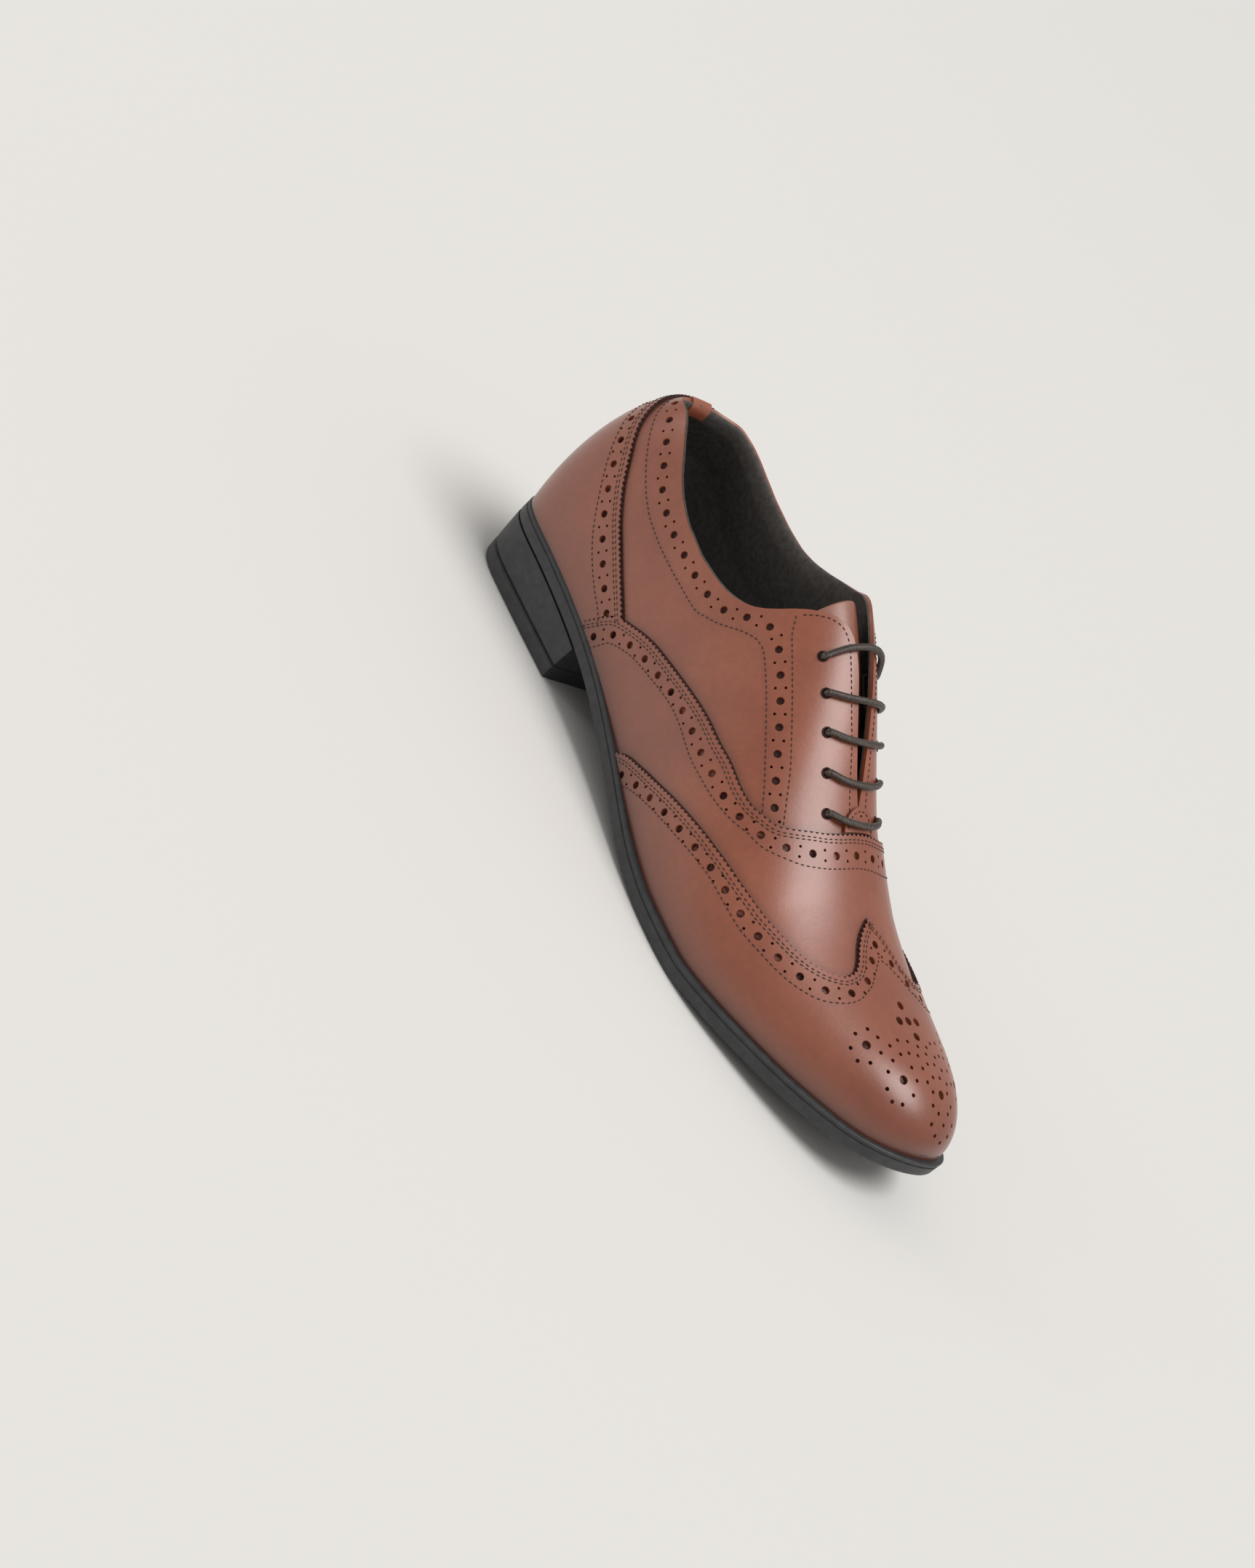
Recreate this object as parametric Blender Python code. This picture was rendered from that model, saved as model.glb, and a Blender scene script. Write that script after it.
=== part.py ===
"""Wing-cap brogue shoe for the right foot, as the separate pieces that a shoemaker puts together.

Frame, in metres: the toe points along +X, +Y is the inner side of the foot and +Z is up.
The shoe stands empty on its heel and its tread, and its origin is under the middle of its box.
Every curved piece is cut from one surface, the last: skin() gives a point of it, and the table
SECTIONS gives its shape as shares of the named sizes.
"""

import math

import bmesh
import bpy
import numpy as np
from mathutils import Matrix, Vector

# Sizes of the last, the wooden form that the shoe is made on
LAST_LENGTH = 0.2920
BALL_WIDTH = 0.0960
INSTEP_RISE = 0.0975
HEEL_PITCH = 0.0210
TOE_SPRING = 0.0150
HEEL_FAN = 0.0340

# Sizes of the sole
SOLE_THICKNESS = 0.0070
WELT_TOE = 0.0050
WELT_HEEL = 0.0018
EDGE_BEVEL = 0.0008
TOP_LIFT = 0.0065
HEEL_TAPER = 0.0016
BREAST_RAKE = 0.0020
INSOLE_THICKNESS = 0.0022

# Sizes of the leather pieces
WALL = 0.0020
LAYER = 0.0010
TONGUE_THICKNESS = 0.0018
STRAP_WIDTH = 0.0150
STRAP_DROP = 0.0035
STRAP_LINING_DROP = 0.0220
TAB_RADIUS = 0.0075

# Sizes of the lacing
LACE_RADIUS = 0.00125
LACE_BEND = 0.0022
EYELET_RADIUS = 0.0019
EYELET_TOP_REACH = 0.0165
EYELET_LOW_REACH = 0.0140
BAR_SAG = 0.0030

# How many faces the upper and the overlays on it have along and up each side, so that they match
SKIN_COLUMNS = 44
SKIN_ROWS = 12

# Room between two pieces that meet
GAP = 0.0003
LAYER_GAP = 0.0004
MERGE = 0.00005

# Places along the last, as shares of its length
BREAST = 0.262
THROAT = 0.640
FIRST_EYELET = 0.474
LAST_EYELET = 0.632
BARS = 5
TONGUE_TOP = 0.415
TONGUE_ROOT = 0.675

INNER, OUTER = 1, -1

# The last, section by section from heel to toe. half, centre, crown and lean are shares of BALL_WIDTH,
# seat of HEEL_PITCH, spring of TOE_SPRING, rise of INSTEP_RISE, low of the section's height and top of
# its half width. Each name with _in is for the inner side of the foot, and with _out for the outer.
SECTION_COLUMNS = (
    "along half centre seat spring rise crown tilt "
    "lean_in lean_out low_in low_out top_in top_out"
).split()
SECTIONS = [
    (0.000, 0.000, 0.000, 0.98, 0.00, 0.830, 0.000, 0.00, 0.086, 0.086, 0.59, 0.59, 0.72, 0.72),
    (0.040, 0.280, -0.012, 1.00, 0.00, 0.860, 0.000, 0.00, 0.080, 0.074, 0.60, 0.57, 0.74, 0.71),
    (0.118, 0.332, -0.008, 1.00, 0.00, 0.935, 0.000, 0.00, 0.062, 0.060, 0.60, 0.58, 0.70, 0.68),
    (0.210, 0.334, -0.015, 0.92, 0.00, 0.985, -0.005, 0.00, 0.052, 0.042, 0.58, 0.57, 0.66, 0.65),
    (0.304, 0.325, -0.030, 0.73, 0.00, 1.010, -0.012, 0.06, 0.074, 0.043, 0.52, 0.55, 0.62, 0.62),
    (0.388, 0.326, -0.050, 0.50, 0.00, 0.985, -0.018, 0.12, 0.095, 0.043, 0.48, 0.50, 0.62, 0.62),
    (0.473, 0.356, -0.060, 0.27, 0.00, 0.910, -0.022, 0.12, 0.085, 0.042, 0.47, 0.48, 0.61, 0.60),
    (0.557, 0.412, -0.056, 0.08, 0.00, 0.775, -0.027, 0.12, 0.064, 0.042, 0.47, 0.46, 0.59, 0.58),
    (0.642, 0.469, -0.038, -0.01, 0.00, 0.600, -0.031, 0.12, 0.044, 0.036, 0.49, 0.46, 0.57, 0.56),
    (0.709, 0.492, -0.021, -0.01, 0.00, 0.478, -0.031, 0.12, 0.034, 0.031, 0.53, 0.48, 0.57, 0.56),
    (0.764, 0.484, 0.000, 0.00, 0.10, 0.392, -0.027, 0.12, 0.028, 0.026, 0.56, 0.50, 0.59, 0.56),
    (0.828, 0.434, 0.022, 0.00, 0.25, 0.325, -0.008, 0.08, 0.023, 0.020, 0.61, 0.55, 0.61, 0.58),
    (0.885, 0.368, 0.035, 0.00, 0.41, 0.282, 0.012, 0.05, 0.017, 0.015, 0.63, 0.60, 0.63, 0.60),
    (0.939, 0.279, 0.041, 0.00, 0.61, 0.232, 0.031, 0.01, 0.010, 0.010, 0.62, 0.62, 0.62, 0.62),
    (0.976, 0.188, 0.047, 0.00, 0.79, 0.155, 0.045, 0.00, 0.004, 0.004, 0.60, 0.60, 0.60, 0.60),
    (1.000, 0.000, 0.066, 0.00, 0.96, 0.000, 0.066, 0.00, 0.000, 0.000, 0.55, 0.55, 0.55, 0.55),
]

# The top edge of the upper: how far up the section the collar and the facing reach on each side
TOPLINE = [
    # along, inner, outer
    (0.000, 0.620, 0.620),
    (0.035, 0.600, 0.612),
    (0.068, 0.550, 0.585),
    (0.101, 0.505, 0.535),
    (0.135, 0.470, 0.470),
    (0.169, 0.450, 0.412),
    (0.203, 0.445, 0.375),
    (0.240, 0.455, 0.358),
    (0.270, 0.480, 0.358),
    (0.304, 0.530, 0.375),
    (0.338, 0.600, 0.410),
    (0.372, 0.690, 0.475),
    (0.392, 0.770, 0.545),
    (0.408, 0.830, 0.640),
    (0.424, 0.880, 0.745),
    (0.442, 0.910, 0.845),
    (0.462, 0.925, 0.900),
    (0.490, 0.935, 0.928),
    (0.530, 0.948, 0.942),
    (0.575, 0.965, 0.962),
    (0.612, 0.985, 0.985),
    (0.630, 1.000, 1.000),
]

# The gimped edges of the overlays: how far along the last each edge lies at a share up the section
VAMP_EDGE = [
    # up, along
    (0.00, 0.243),
    (0.05, 0.260),
    (0.10, 0.288),
    (0.20, 0.372),
    (0.30, 0.470),
    (0.40, 0.556),
    (0.50, 0.608),
    (0.60, 0.635),
    (0.75, 0.648),
    (1.00, 0.655),
]
CAP_EDGE = [
    # up, along
    (0.00, 0.430),
    (0.10, 0.490),
    (0.20, 0.556),
    (0.30, 0.620),
    (0.40, 0.690),
    (0.50, 0.755),
    (0.58, 0.795),
    (0.66, 0.809),
    (0.76, 0.809),
    (0.85, 0.795),
    (0.93, 0.765),
    (1.00, 0.745),
]
COUNTER_EDGE = [
    # up, along
    (0.00, 0.236),
    (0.05, 0.252),
    (0.10, 0.258),
    (0.15, 0.218),
    (0.20, 0.170),
    (0.25, 0.136),
    (0.30, 0.112),
    (0.40, 0.070),
    (0.50, 0.038),
    (0.56, 0.020),
]
COUNTER_TOP = 0.56

# Colour, roughness and metallic value of each material
MATERIALS = {
    "upper_leather": ((0.24, 0.085, 0.045), 0.38, 0.0),
    "overlay_leather": ((0.22, 0.075, 0.040), 0.36, 0.0),
    "tongue_leather": ((0.25, 0.095, 0.055), 0.42, 0.0),
    "sole_rubber": ((0.035, 0.036, 0.038), 0.62, 0.0),
    "insole_lining": ((0.020, 0.018, 0.017), 0.75, 0.0),
    "lace_cord": ((0.050, 0.044, 0.040), 0.70, 0.0),
}


def smooth_curve(places, values):
    """The natural cubic through the points, which bends as little as it can."""
    places, values = np.asarray(places, float), np.asarray(values, float)
    steps, rises = np.diff(places), np.diff(values)
    count = len(places)
    system, right = np.zeros((count, count)), np.zeros(count)
    system[0, :2], right[0] = (2, 1), 3 * rises[0] / steps[0]
    system[-1, -2:], right[-1] = (1, 2), 3 * rises[-1] / steps[-1]
    for i in range(1, count - 1):
        system[i, i - 1 : i + 2] = steps[i], 2 * (steps[i - 1] + steps[i]), steps[i - 1]
        right[i] = 3 * (steps[i] * rises[i - 1] / steps[i - 1] + steps[i - 1] * rises[i] / steps[i])
    return hermite(places, values, np.linalg.solve(system, right))


def steady_curve(places, values):
    """A cubic through the points that never runs past them between two of them."""
    places, values = np.asarray(places, float), np.asarray(values, float)
    slopes = np.diff(values) / np.diff(places)
    before, after = slopes[:-1], slopes[1:]
    same_way = before * after > 0
    inner = np.where(same_way, 2 * before * after / np.where(same_way, before + after, 1.0), 0.0)
    return hermite(places, values, np.concatenate([slopes[:1], inner, slopes[-1:]]))


def hermite(places, values, slopes):
    """The cubic with the given values and slopes, held level outside its ends."""

    def at(place):
        place = np.clip(np.asarray(place, float), places[0], places[-1])
        i = np.clip(np.searchsorted(places, place, side="right") - 1, 0, len(places) - 2)
        width = places[i + 1] - places[i]
        u = (place - places[i]) / width
        return (
            (1 + 2 * u) * (1 - u) ** 2 * values[i]
            + u * (1 - u) ** 2 * width * slopes[i]
            + u * u * (3 - 2 * u) * values[i + 1]
            + u * u * (u - 1) * width * slopes[i + 1]
        )

    return at


def station(along):
    """The station at a share of the length: stations crowd at heel and toe, which makes both round."""
    return np.arccos(np.clip(1 - 2 * np.asarray(along, float), -1, 1)) / math.pi


def along_of(s):
    return (1 - np.cos(math.pi * np.asarray(s, float))) / 2


STATIONS = [station(row[0]) for row in SECTIONS]
COLUMN = {
    name: smooth_curve(STATIONS, [row[i] for row in SECTIONS])
    for i, name in enumerate(SECTION_COLUMNS)
    if name not in ("along", "seat", "spring")
}
SOLE_LIFT = smooth_curve(
    [row[0] for row in SECTIONS], [row[3] * HEEL_PITCH + row[4] * TOE_SPRING for row in SECTIONS]
)
TOP_SHARE = {
    side: steady_curve([station(row[0]) for row in TOPLINE], [row[i] for row in TOPLINE])
    for side, i in ((INNER, 1), (OUTER, 2))
}
VAMP_ALONG = steady_curve(*zip(*VAMP_EDGE))
CAP_ALONG = steady_curve(*zip(*CAP_EDGE))
COUNTER_ALONG = steady_curve(*zip(*COUNTER_EDGE))


def feather_height(x):
    """How high the sole's top face, where the upper meets it, lies above the floor; past the toe it runs on."""
    share = np.asarray(x, float) / LAST_LENGTH
    past = np.maximum(share - 1.0, 0.0)
    toe_slope = (SOLE_LIFT(1.0) - SOLE_LIFT(0.99)) / 0.01
    return SOLE_THICKNESS + np.maximum(SOLE_LIFT(share) + toe_slope * past, 0.0)


def last_point(s, t, side):
    """A point of the last: station s, share t up its section, on the inner or the outer side."""
    end = "_in" if side == INNER else "_out"
    x = LAST_LENGTH * along_of(s)
    y = BALL_WIDTH * (COLUMN["centre"](s) + side * COLUMN["half"](s))
    low_z = feather_height(x)
    rise = INSTEP_RISE * COLUMN["rise"](s)
    # Behind HEEL_FAN the sections turn round one upright axis, so that the heel closes.
    middle_x = np.maximum(x, HEEL_FAN)
    middle_y = BALL_WIDTH * COLUMN["crown"](s)
    reach = np.hypot(x - middle_x, y - middle_y) + 1e-9
    fanned = x < HEEL_FAN
    out_x = np.where(fanned, (x - middle_x) / reach, 0.0)
    out_y = np.where(fanned, (y - middle_y) / reach, float(side))
    reach = np.where(fanned, reach, side * (y - middle_y))
    wide = reach + BALL_WIDTH * COLUMN["lean" + end](s)
    narrow = reach * COLUMN["top" + end](s)
    wide_z = low_z + rise * COLUMN["low" + end](s)
    narrow_z = low_z + rise + side * COLUMN["tilt"](s) * narrow
    weights = (1 - t) ** 3, 3 * (1 - t) ** 2 * t, 3 * (1 - t) * t * t, t**3
    out = weights[0] * reach + weights[1] * wide + weights[2] * narrow
    z = weights[0] * low_z + weights[1] * wide_z + weights[2] * narrow_z + weights[3] * (low_z + rise)
    return np.stack([middle_x + out_x * out, middle_y + out_y * out, z], axis=-1)


def skin(s, t, side, off=0.0):
    """Points off metres outside the last, and the directions that point straight out of it there."""
    s, t, off = np.broadcast_arrays(np.asarray(s, float), np.asarray(t, float), np.asarray(off, float))
    step = 1e-4
    near, far = np.clip(s - step, 0, 1), np.clip(s + step, 0, 1)
    below, above = np.clip(t - step, 0, 1), np.clip(t + step, 0, 1)
    forward = last_point(far, t, side) - last_point(near, t, side)
    upward = last_point(s, above, side) - last_point(s, below, side)
    out = -side * np.cross(forward, upward)
    # Where the last turns under, a layer moves out level, so that its rows stay apart above the sole.
    out[..., 2] = np.maximum(out[..., 2], 0.0)
    out = out / (np.linalg.norm(out, axis=-1, keepdims=True) + 1e-15)
    # At the very heel and the very toe both sides share one direction.
    out = np.where((s < 0.0001)[..., None], out * np.array([1.0, 0.0, 1.0]), out)
    out = np.where((s > 0.9999)[..., None], np.array([1.0, 0.0, 0.0]), out)
    points = last_point(s, t, side)
    moved = points + out * off[..., None]
    # A layer that moves out over the sole also follows the sole's rise, most of all at its foot.
    rise = feather_height(moved[..., 0]) - feather_height(points[..., 0]) + GAP
    moved[..., 2] += rise * (1 - t) ** 2
    return moved, out


def up_at_reach(s, side, reach):
    """How far up the section a point lies that is reach metres to one side of the centre line."""
    shares = np.linspace(1.0, 0.3, 141)
    y = last_point(np.full_like(shares, s), shares, side)[:, 1]
    middle = BALL_WIDTH * float(COLUMN["crown"](s))
    return float(np.interp(reach, side * (y - middle), shares))


def material(name):
    colour, roughness, metallic = MATERIALS[name]
    made = bpy.data.materials.get(name) or bpy.data.materials.new(name)
    made.use_nodes = True
    shader = made.node_tree.nodes["Principled BSDF"]
    shader.inputs["Base Color"].default_value = (*colour, 1.0)
    shader.inputs["Roughness"].default_value = roughness
    shader.inputs["Metallic"].default_value = metallic
    made.diffuse_color = (*colour, 1.0)
    return made


def finished(name, data, look, where):
    """The object of one piece, with its material, in its collection and under the shoe's empty."""
    made = bpy.data.objects.new(name, data)
    data.materials.append(material(look))
    where.objects.link(made)
    made.parent = bpy.data.objects["brogue_shoe"]
    return made


def mesh_piece(name, bm, look, where):
    data = bpy.data.meshes.new(name)
    bm.to_mesh(data)
    bm.free()
    data.shade_smooth()
    data.set_sharp_from_angle(angle=math.radians(40))
    return finished(name, data, look, where)


def unit_grid(bm, columns, rows):
    """A grid's points, with how far along and up it each one lies, from 0 to 1."""
    made = bmesh.ops.create_grid(bm, x_segments=columns, y_segments=rows, size=0.5)["verts"]
    flat = np.array([vert.co for vert in made]) + 0.5
    return made, flat[:, 0], flat[:, 1]


def shell_mesh(patches, columns, rows, thickness, lowest=None):
    """A closed wall: patches of the last's skin, merged, and a copy of them set in by the thickness."""
    bm = bmesh.new()
    outward = bm.verts.layers.float_vector.new("outward")
    for place in patches:
        made, along, up = unit_grid(bm, columns, rows)
        points, directions = place(along, up)
        for vert, point, direction in zip(made, points, directions):
            vert.co = point
            vert[outward] = direction
    bmesh.ops.remove_doubles(bm, verts=bm.verts[:], dist=MERGE)
    outer = bm.verts[:]
    rim = [edge for edge in bm.edges if edge.is_boundary]
    twin = bmesh.ops.duplicate(bm, geom=outer + bm.edges[:] + bm.faces[:])["vert_map"]
    for vert in outer:
        twin[vert].co = vert.co - vert[outward] * thickness
        if lowest is not None:
            twin[vert].co.z = max(twin[vert].co.z, lowest(twin[vert].co.x))
    for edge in rim:
        first, second = edge.verts
        bm.faces.new((first, second, twin[second], twin[first]))
    bmesh.ops.recalc_face_normals(bm, faces=bm.faces[:])
    return bm


def lowest_wall(x):
    """How low a leather piece may reach, just clear of the sole's top face."""
    return feather_height(x) + GAP


def lifted(points, directions):
    """Keeps the points of a leather piece clear of the sole."""
    points[:, 2] = np.maximum(points[:, 2], lowest_wall(points[:, 0]))
    return points, directions


def margin_at(s):
    """How far the sole stands out past the feather line."""
    forward = np.clip((along_of(s) - 0.25) / 0.35, 0, 1)
    ease = forward * forward * (3 - 2 * forward)
    return WELT_HEEL + (WELT_TOE - WELT_HEEL) * ease


def outline_point(s, side, out):
    """A point of the feather line, moved out level by the given distance."""
    step = 1e-4
    here = last_point(s, 0.0, side)
    ahead = last_point(min(s + step, 1.0), 0.0, side) - last_point(max(s - step, 0.0), 0.0, side)
    length = math.hypot(ahead[0], ahead[1])
    return here[0] - side * ahead[1] / length * out, here[1] + side * ahead[0] / length * out


def slab_mesh(first, last, columns, corners):
    """A closed loft along the sole: corners gives the four or six corners of its section at a station."""
    bm = bmesh.new()
    made, along, around = unit_grid(bm, columns, len(corners(0.5)))
    for vert, a, b in zip(made, along, around):
        section = corners(first + (last - first) * float(a))
        vert.co = section[round(float(b) * len(section)) % len(section)]
    bmesh.ops.remove_doubles(bm, verts=bm.verts[:], dist=MERGE)
    bmesh.ops.dissolve_degenerate(bm, edges=bm.edges[:], dist=MERGE)
    open_edges = [edge for edge in bm.edges if edge.is_boundary]
    if open_edges:
        bmesh.ops.holes_fill(bm, edges=open_edges, sides=0)
    bmesh.ops.recalc_face_normals(bm, faces=bm.faces[:])
    return bm


def make_outsole(where):
    """The outsole: flat on the floor under the ball, lifted at the waist, sprung at the toe."""

    def corners(s):
        section = []
        profile = (
            (INNER, 0.0, EDGE_BEVEL / 2),
            (INNER, 0.0, SOLE_THICKNESS - EDGE_BEVEL),
            (INNER, EDGE_BEVEL, SOLE_THICKNESS),
            (OUTER, EDGE_BEVEL, SOLE_THICKNESS),
            (OUTER, 0.0, SOLE_THICKNESS - EDGE_BEVEL),
            (OUTER, 0.0, EDGE_BEVEL / 2),
            (OUTER, EDGE_BEVEL, 0.0),
            (INNER, EDGE_BEVEL, 0.0),
        )
        for side, inset, down in profile:
            x, y = outline_point(s, side, float(margin_at(s)) - inset)
            section.append((x, y, feather_height(x) - down))
        return section

    mesh_piece("outsole", slab_mesh(0.0, 1.0, 38, corners), "sole_rubber", where)


def heel_corners(s, top_of, bottom_of):
    """A section of the heel between two heights, drawn in towards the floor all round."""
    section = []
    breast = float(station(BREAST))
    for side, bound in ((INNER, top_of), (INNER, bottom_of), (OUTER, bottom_of), (OUTER, top_of)):
        x, y = outline_point(s, side, float(margin_at(s)))
        z = bound(x)
        below = max(feather_height(x) - SOLE_THICKNESS - z, 0.0) / HEEL_PITCH
        x, y = outline_point(s, side, float(margin_at(s)) - HEEL_TAPER * below)
        section.append((x - BREAST_RAKE * below * (s / breast) ** 8, y, z))
    return section


def make_heel(where):
    """The heel block under the seat and the top lift that it stands on."""
    breast = float(station(BREAST))

    def seat(x):
        return feather_height(x) - SOLE_THICKNESS - GAP

    block = slab_mesh(0.0, breast, 16, lambda s: heel_corners(s, seat, lambda x: TOP_LIFT + GAP))
    mesh_piece("heel_block", block, "sole_rubber", where)
    lift = slab_mesh(0.0, breast, 16, lambda s: heel_corners(s, lambda x: TOP_LIFT, lambda x: 0.0))
    mesh_piece("heel_top_lift", lift, "sole_rubber", where)


def make_insole(where):
    """The insole, which lies on the outsole inside the upper's wall."""
    inset = WALL + 2 * GAP
    top = GAP + INSOLE_THICKNESS

    def corners(s):
        section = []
        for side, up in ((INNER, top), (INNER, GAP), (OUTER, GAP), (OUTER, top)):
            x, y = outline_point(s, side, -inset)
            section.append((x, y, feather_height(x) + up))
        return section

    mesh_piece("insole", slab_mesh(0.0, 1.0, 32, corners), "insole_lining", where)


def make_upper(where, cutters):
    """The hollow upper: one wall, open at the collar, the throat and underneath."""
    patches = []
    for side in (OUTER, INNER):
        patches.append(
            lambda along, up, side=side: lifted(*skin(along, up * TOP_SHARE[side](along), side))
        )
    bm = shell_mesh(patches, SKIN_COLUMNS, SKIN_ROWS, WALL, lowest_wall)
    upper = mesh_piece("upper", bm, "upper_leather", where)
    holes = upper.modifiers.new("eyelets", "BOOLEAN")
    holes.operation = "DIFFERENCE"
    holes.solver = "EXACT"
    holes.object = make_eyelet_cutter(cutters)


def make_overlay(name, edge, level, where):
    """An overlay from its gimped edge forward over the toe, level metres outside the last."""
    patches = []
    for side in (OUTER, INNER):

        def place(along, up, side=side):
            # Behind the edge the grid's columns shut up onto it, so that the rest match the upper's.
            edge_station = station(edge(up))
            s = np.where(along > edge_station + 0.3 / SKIN_COLUMNS, along, edge_station)
            return lifted(*skin(s, up, side, level))

        patches.append(place)
    bm = shell_mesh(patches, SKIN_COLUMNS, SKIN_ROWS, LAYER, lowest_wall)
    mesh_piece(name, bm, "overlay_leather", where)


def make_counter(where):
    """The heel counter, from one side round the back to the other."""
    patches = []
    for side in (OUTER, INNER):
        patches.append(
            lambda along, up, side=side: lifted(
                *skin(
                    along * station(COUNTER_ALONG(up * COUNTER_TOP)),
                    up * COUNTER_TOP,
                    side,
                    LAYER_GAP + LAYER,
                )
            )
        )
    bm = shell_mesh(patches, 12, 8, LAYER, lowest_wall)
    mesh_piece("heel_counter", bm, "overlay_leather", where)


def tongue_depth(along):
    """How far inside the last the tongue's face lies: under the lace, then up to the vamp's lining."""
    rooted = np.clip((along - THROAT) / (TONGUE_ROOT - THROAT), 0, 1)
    deep = WALL + 2 * LACE_RADIUS + 4 * GAP
    return deep + (WALL + GAP - deep) * rooted * rooted * (3 - 2 * rooted)


def make_tongue(where):
    """The tongue, from above the facings down under the lacing to its root at the throat."""
    lowest = steady_curve((TONGUE_TOP, 0.45, THROAT, TONGUE_ROOT), (0.68, 0.64, 0.70, 0.76))
    patches = []
    for side in (OUTER, INNER):

        def place(along, up, side=side):
            share = TONGUE_TOP + (TONGUE_ROOT - TONGUE_TOP) * along
            edge = lowest(share)
            return skin(station(share), edge + (1 - edge) * up, side, -tongue_depth(share))

        patches.append(place)
    mesh_piece("tongue", shell_mesh(patches, 10, 4, TONGUE_THICKNESS), "tongue_leather", where)


def make_throat_tab(where):
    """The half-moon that closes the foot of the throat, just behind the vamp's edge."""
    corner = up_at_reach(float(station(VAMP_ALONG(1.0))), OUTER, TAB_RADIUS)
    straight = float(VAMP_ALONG(corner)) - 2 * GAP / LAST_LENGTH
    patches = []
    for side in (OUTER, INNER):

        def place(along, up, side=side):
            turn = up * math.pi / 2
            reach = TAB_RADIUS * along
            share = straight - reach * np.sin(turn) / LAST_LENGTH
            s = station(share)
            t = np.array([up_at_reach(a, side, b) for a, b in zip(s, reach * np.cos(turn))])
            return skin(s, t, side, LAYER_GAP + LAYER)

        patches.append(place)
    mesh_piece("throat_tab", shell_mesh(patches, 4, 5, LAYER), "overlay_leather", where)


def make_back_strap(where):
    """The strip at the back of the heel, folded over the collar's edge and down inside."""
    top = float(TOP_SHARE[OUTER](0.0))
    rise = INSTEP_RISE * SECTIONS[0][SECTION_COLUMNS.index("rise")]
    face = 2 * GAP + LAYER
    fold = (
        # up the section, out of the last, lift, direction out and up
        (top - STRAP_DROP / rise, face, 0.0, 1.0, 0.0),
        (top - STRAP_DROP / rise / 2, face, 0.0, 1.0, 0.0),
        (top, face, 0.0, 1.0, 0.0),
        (top, face * 0.7, face * 0.7, 0.7, 0.7),
        (top, -WALL / 2, face, 0.0, 1.0),
        (top, -WALL - face * 0.7, face * 0.7, -0.7, 0.7),
        (top, -WALL - face, 0.0, -1.0, 0.0),
        (top - STRAP_LINING_DROP / rise / 2, -WALL - face, 0.0, -1.0, 0.0),
        (top - STRAP_LINING_DROP / rise, -WALL - face, 0.0, -1.0, 0.0),
    )
    half_turn = float(np.interp(STRAP_WIDTH / 2, -last_point(np.linspace(0, 0.1, 60), 0.5, OUTER)[:, 1],
                                np.linspace(0, 0.1, 60)))
    patches = []
    for side in (OUTER, INNER):

        def place(along, up, side=side):
            rows = np.array(fold)[np.rint(up * (len(fold) - 1)).astype(int)]
            points, out = skin(along * half_turn, rows[:, 0], side, rows[:, 1])
            points[:, 2] += rows[:, 2]
            direction = out * rows[:, 3:4] + np.array([0.0, 0.0, 1.0]) * rows[:, 4:5]
            return points, direction / np.linalg.norm(direction, axis=1, keepdims=True)

        patches.append(place)
    mesh_piece("back_strap", shell_mesh(patches, 3, len(fold) - 1, LAYER), "upper_leather", where)


def eyelet(bar, side):
    """The station, share up the section and side of one eyelet; bar 0 is the top one."""
    share = bar / (BARS - 1)
    s = float(station(FIRST_EYELET + (LAST_EYELET - FIRST_EYELET) * share))
    return s, up_at_reach(s, side, EYELET_TOP_REACH + (EYELET_LOW_REACH - EYELET_TOP_REACH) * share), side


def make_eyelet_cutter(where):
    """Ten short bars, one through each eyelet, that cut the holes in the upper."""
    bm = bmesh.new()
    for bar in range(BARS):
        for side in (OUTER, INNER):
            middle, out = skin(*eyelet(bar, side), -WALL / 2)
            made = bmesh.ops.create_cone(
                bm,
                cap_ends=True,
                segments=8,
                radius1=EYELET_RADIUS,
                radius2=EYELET_RADIUS,
                depth=4 * WALL,
            )["verts"]
            turn = Vector((0, 0, 1)).rotation_difference(Vector(out)).to_matrix().to_4x4()
            bmesh.ops.transform(bm, matrix=Matrix.Translation(middle) @ turn, verts=made)
    data = bpy.data.meshes.new("eyelet_cutter")
    bm.to_mesh(data)
    bm.free()
    cutter = bpy.data.objects.new("eyelet_cutter", data)
    where.objects.link(cutter)
    cutter.parent = bpy.data.objects["brogue_shoe"]
    cutter.hide_render = True
    cutter.display_type = "WIRE"
    return cutter


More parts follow.
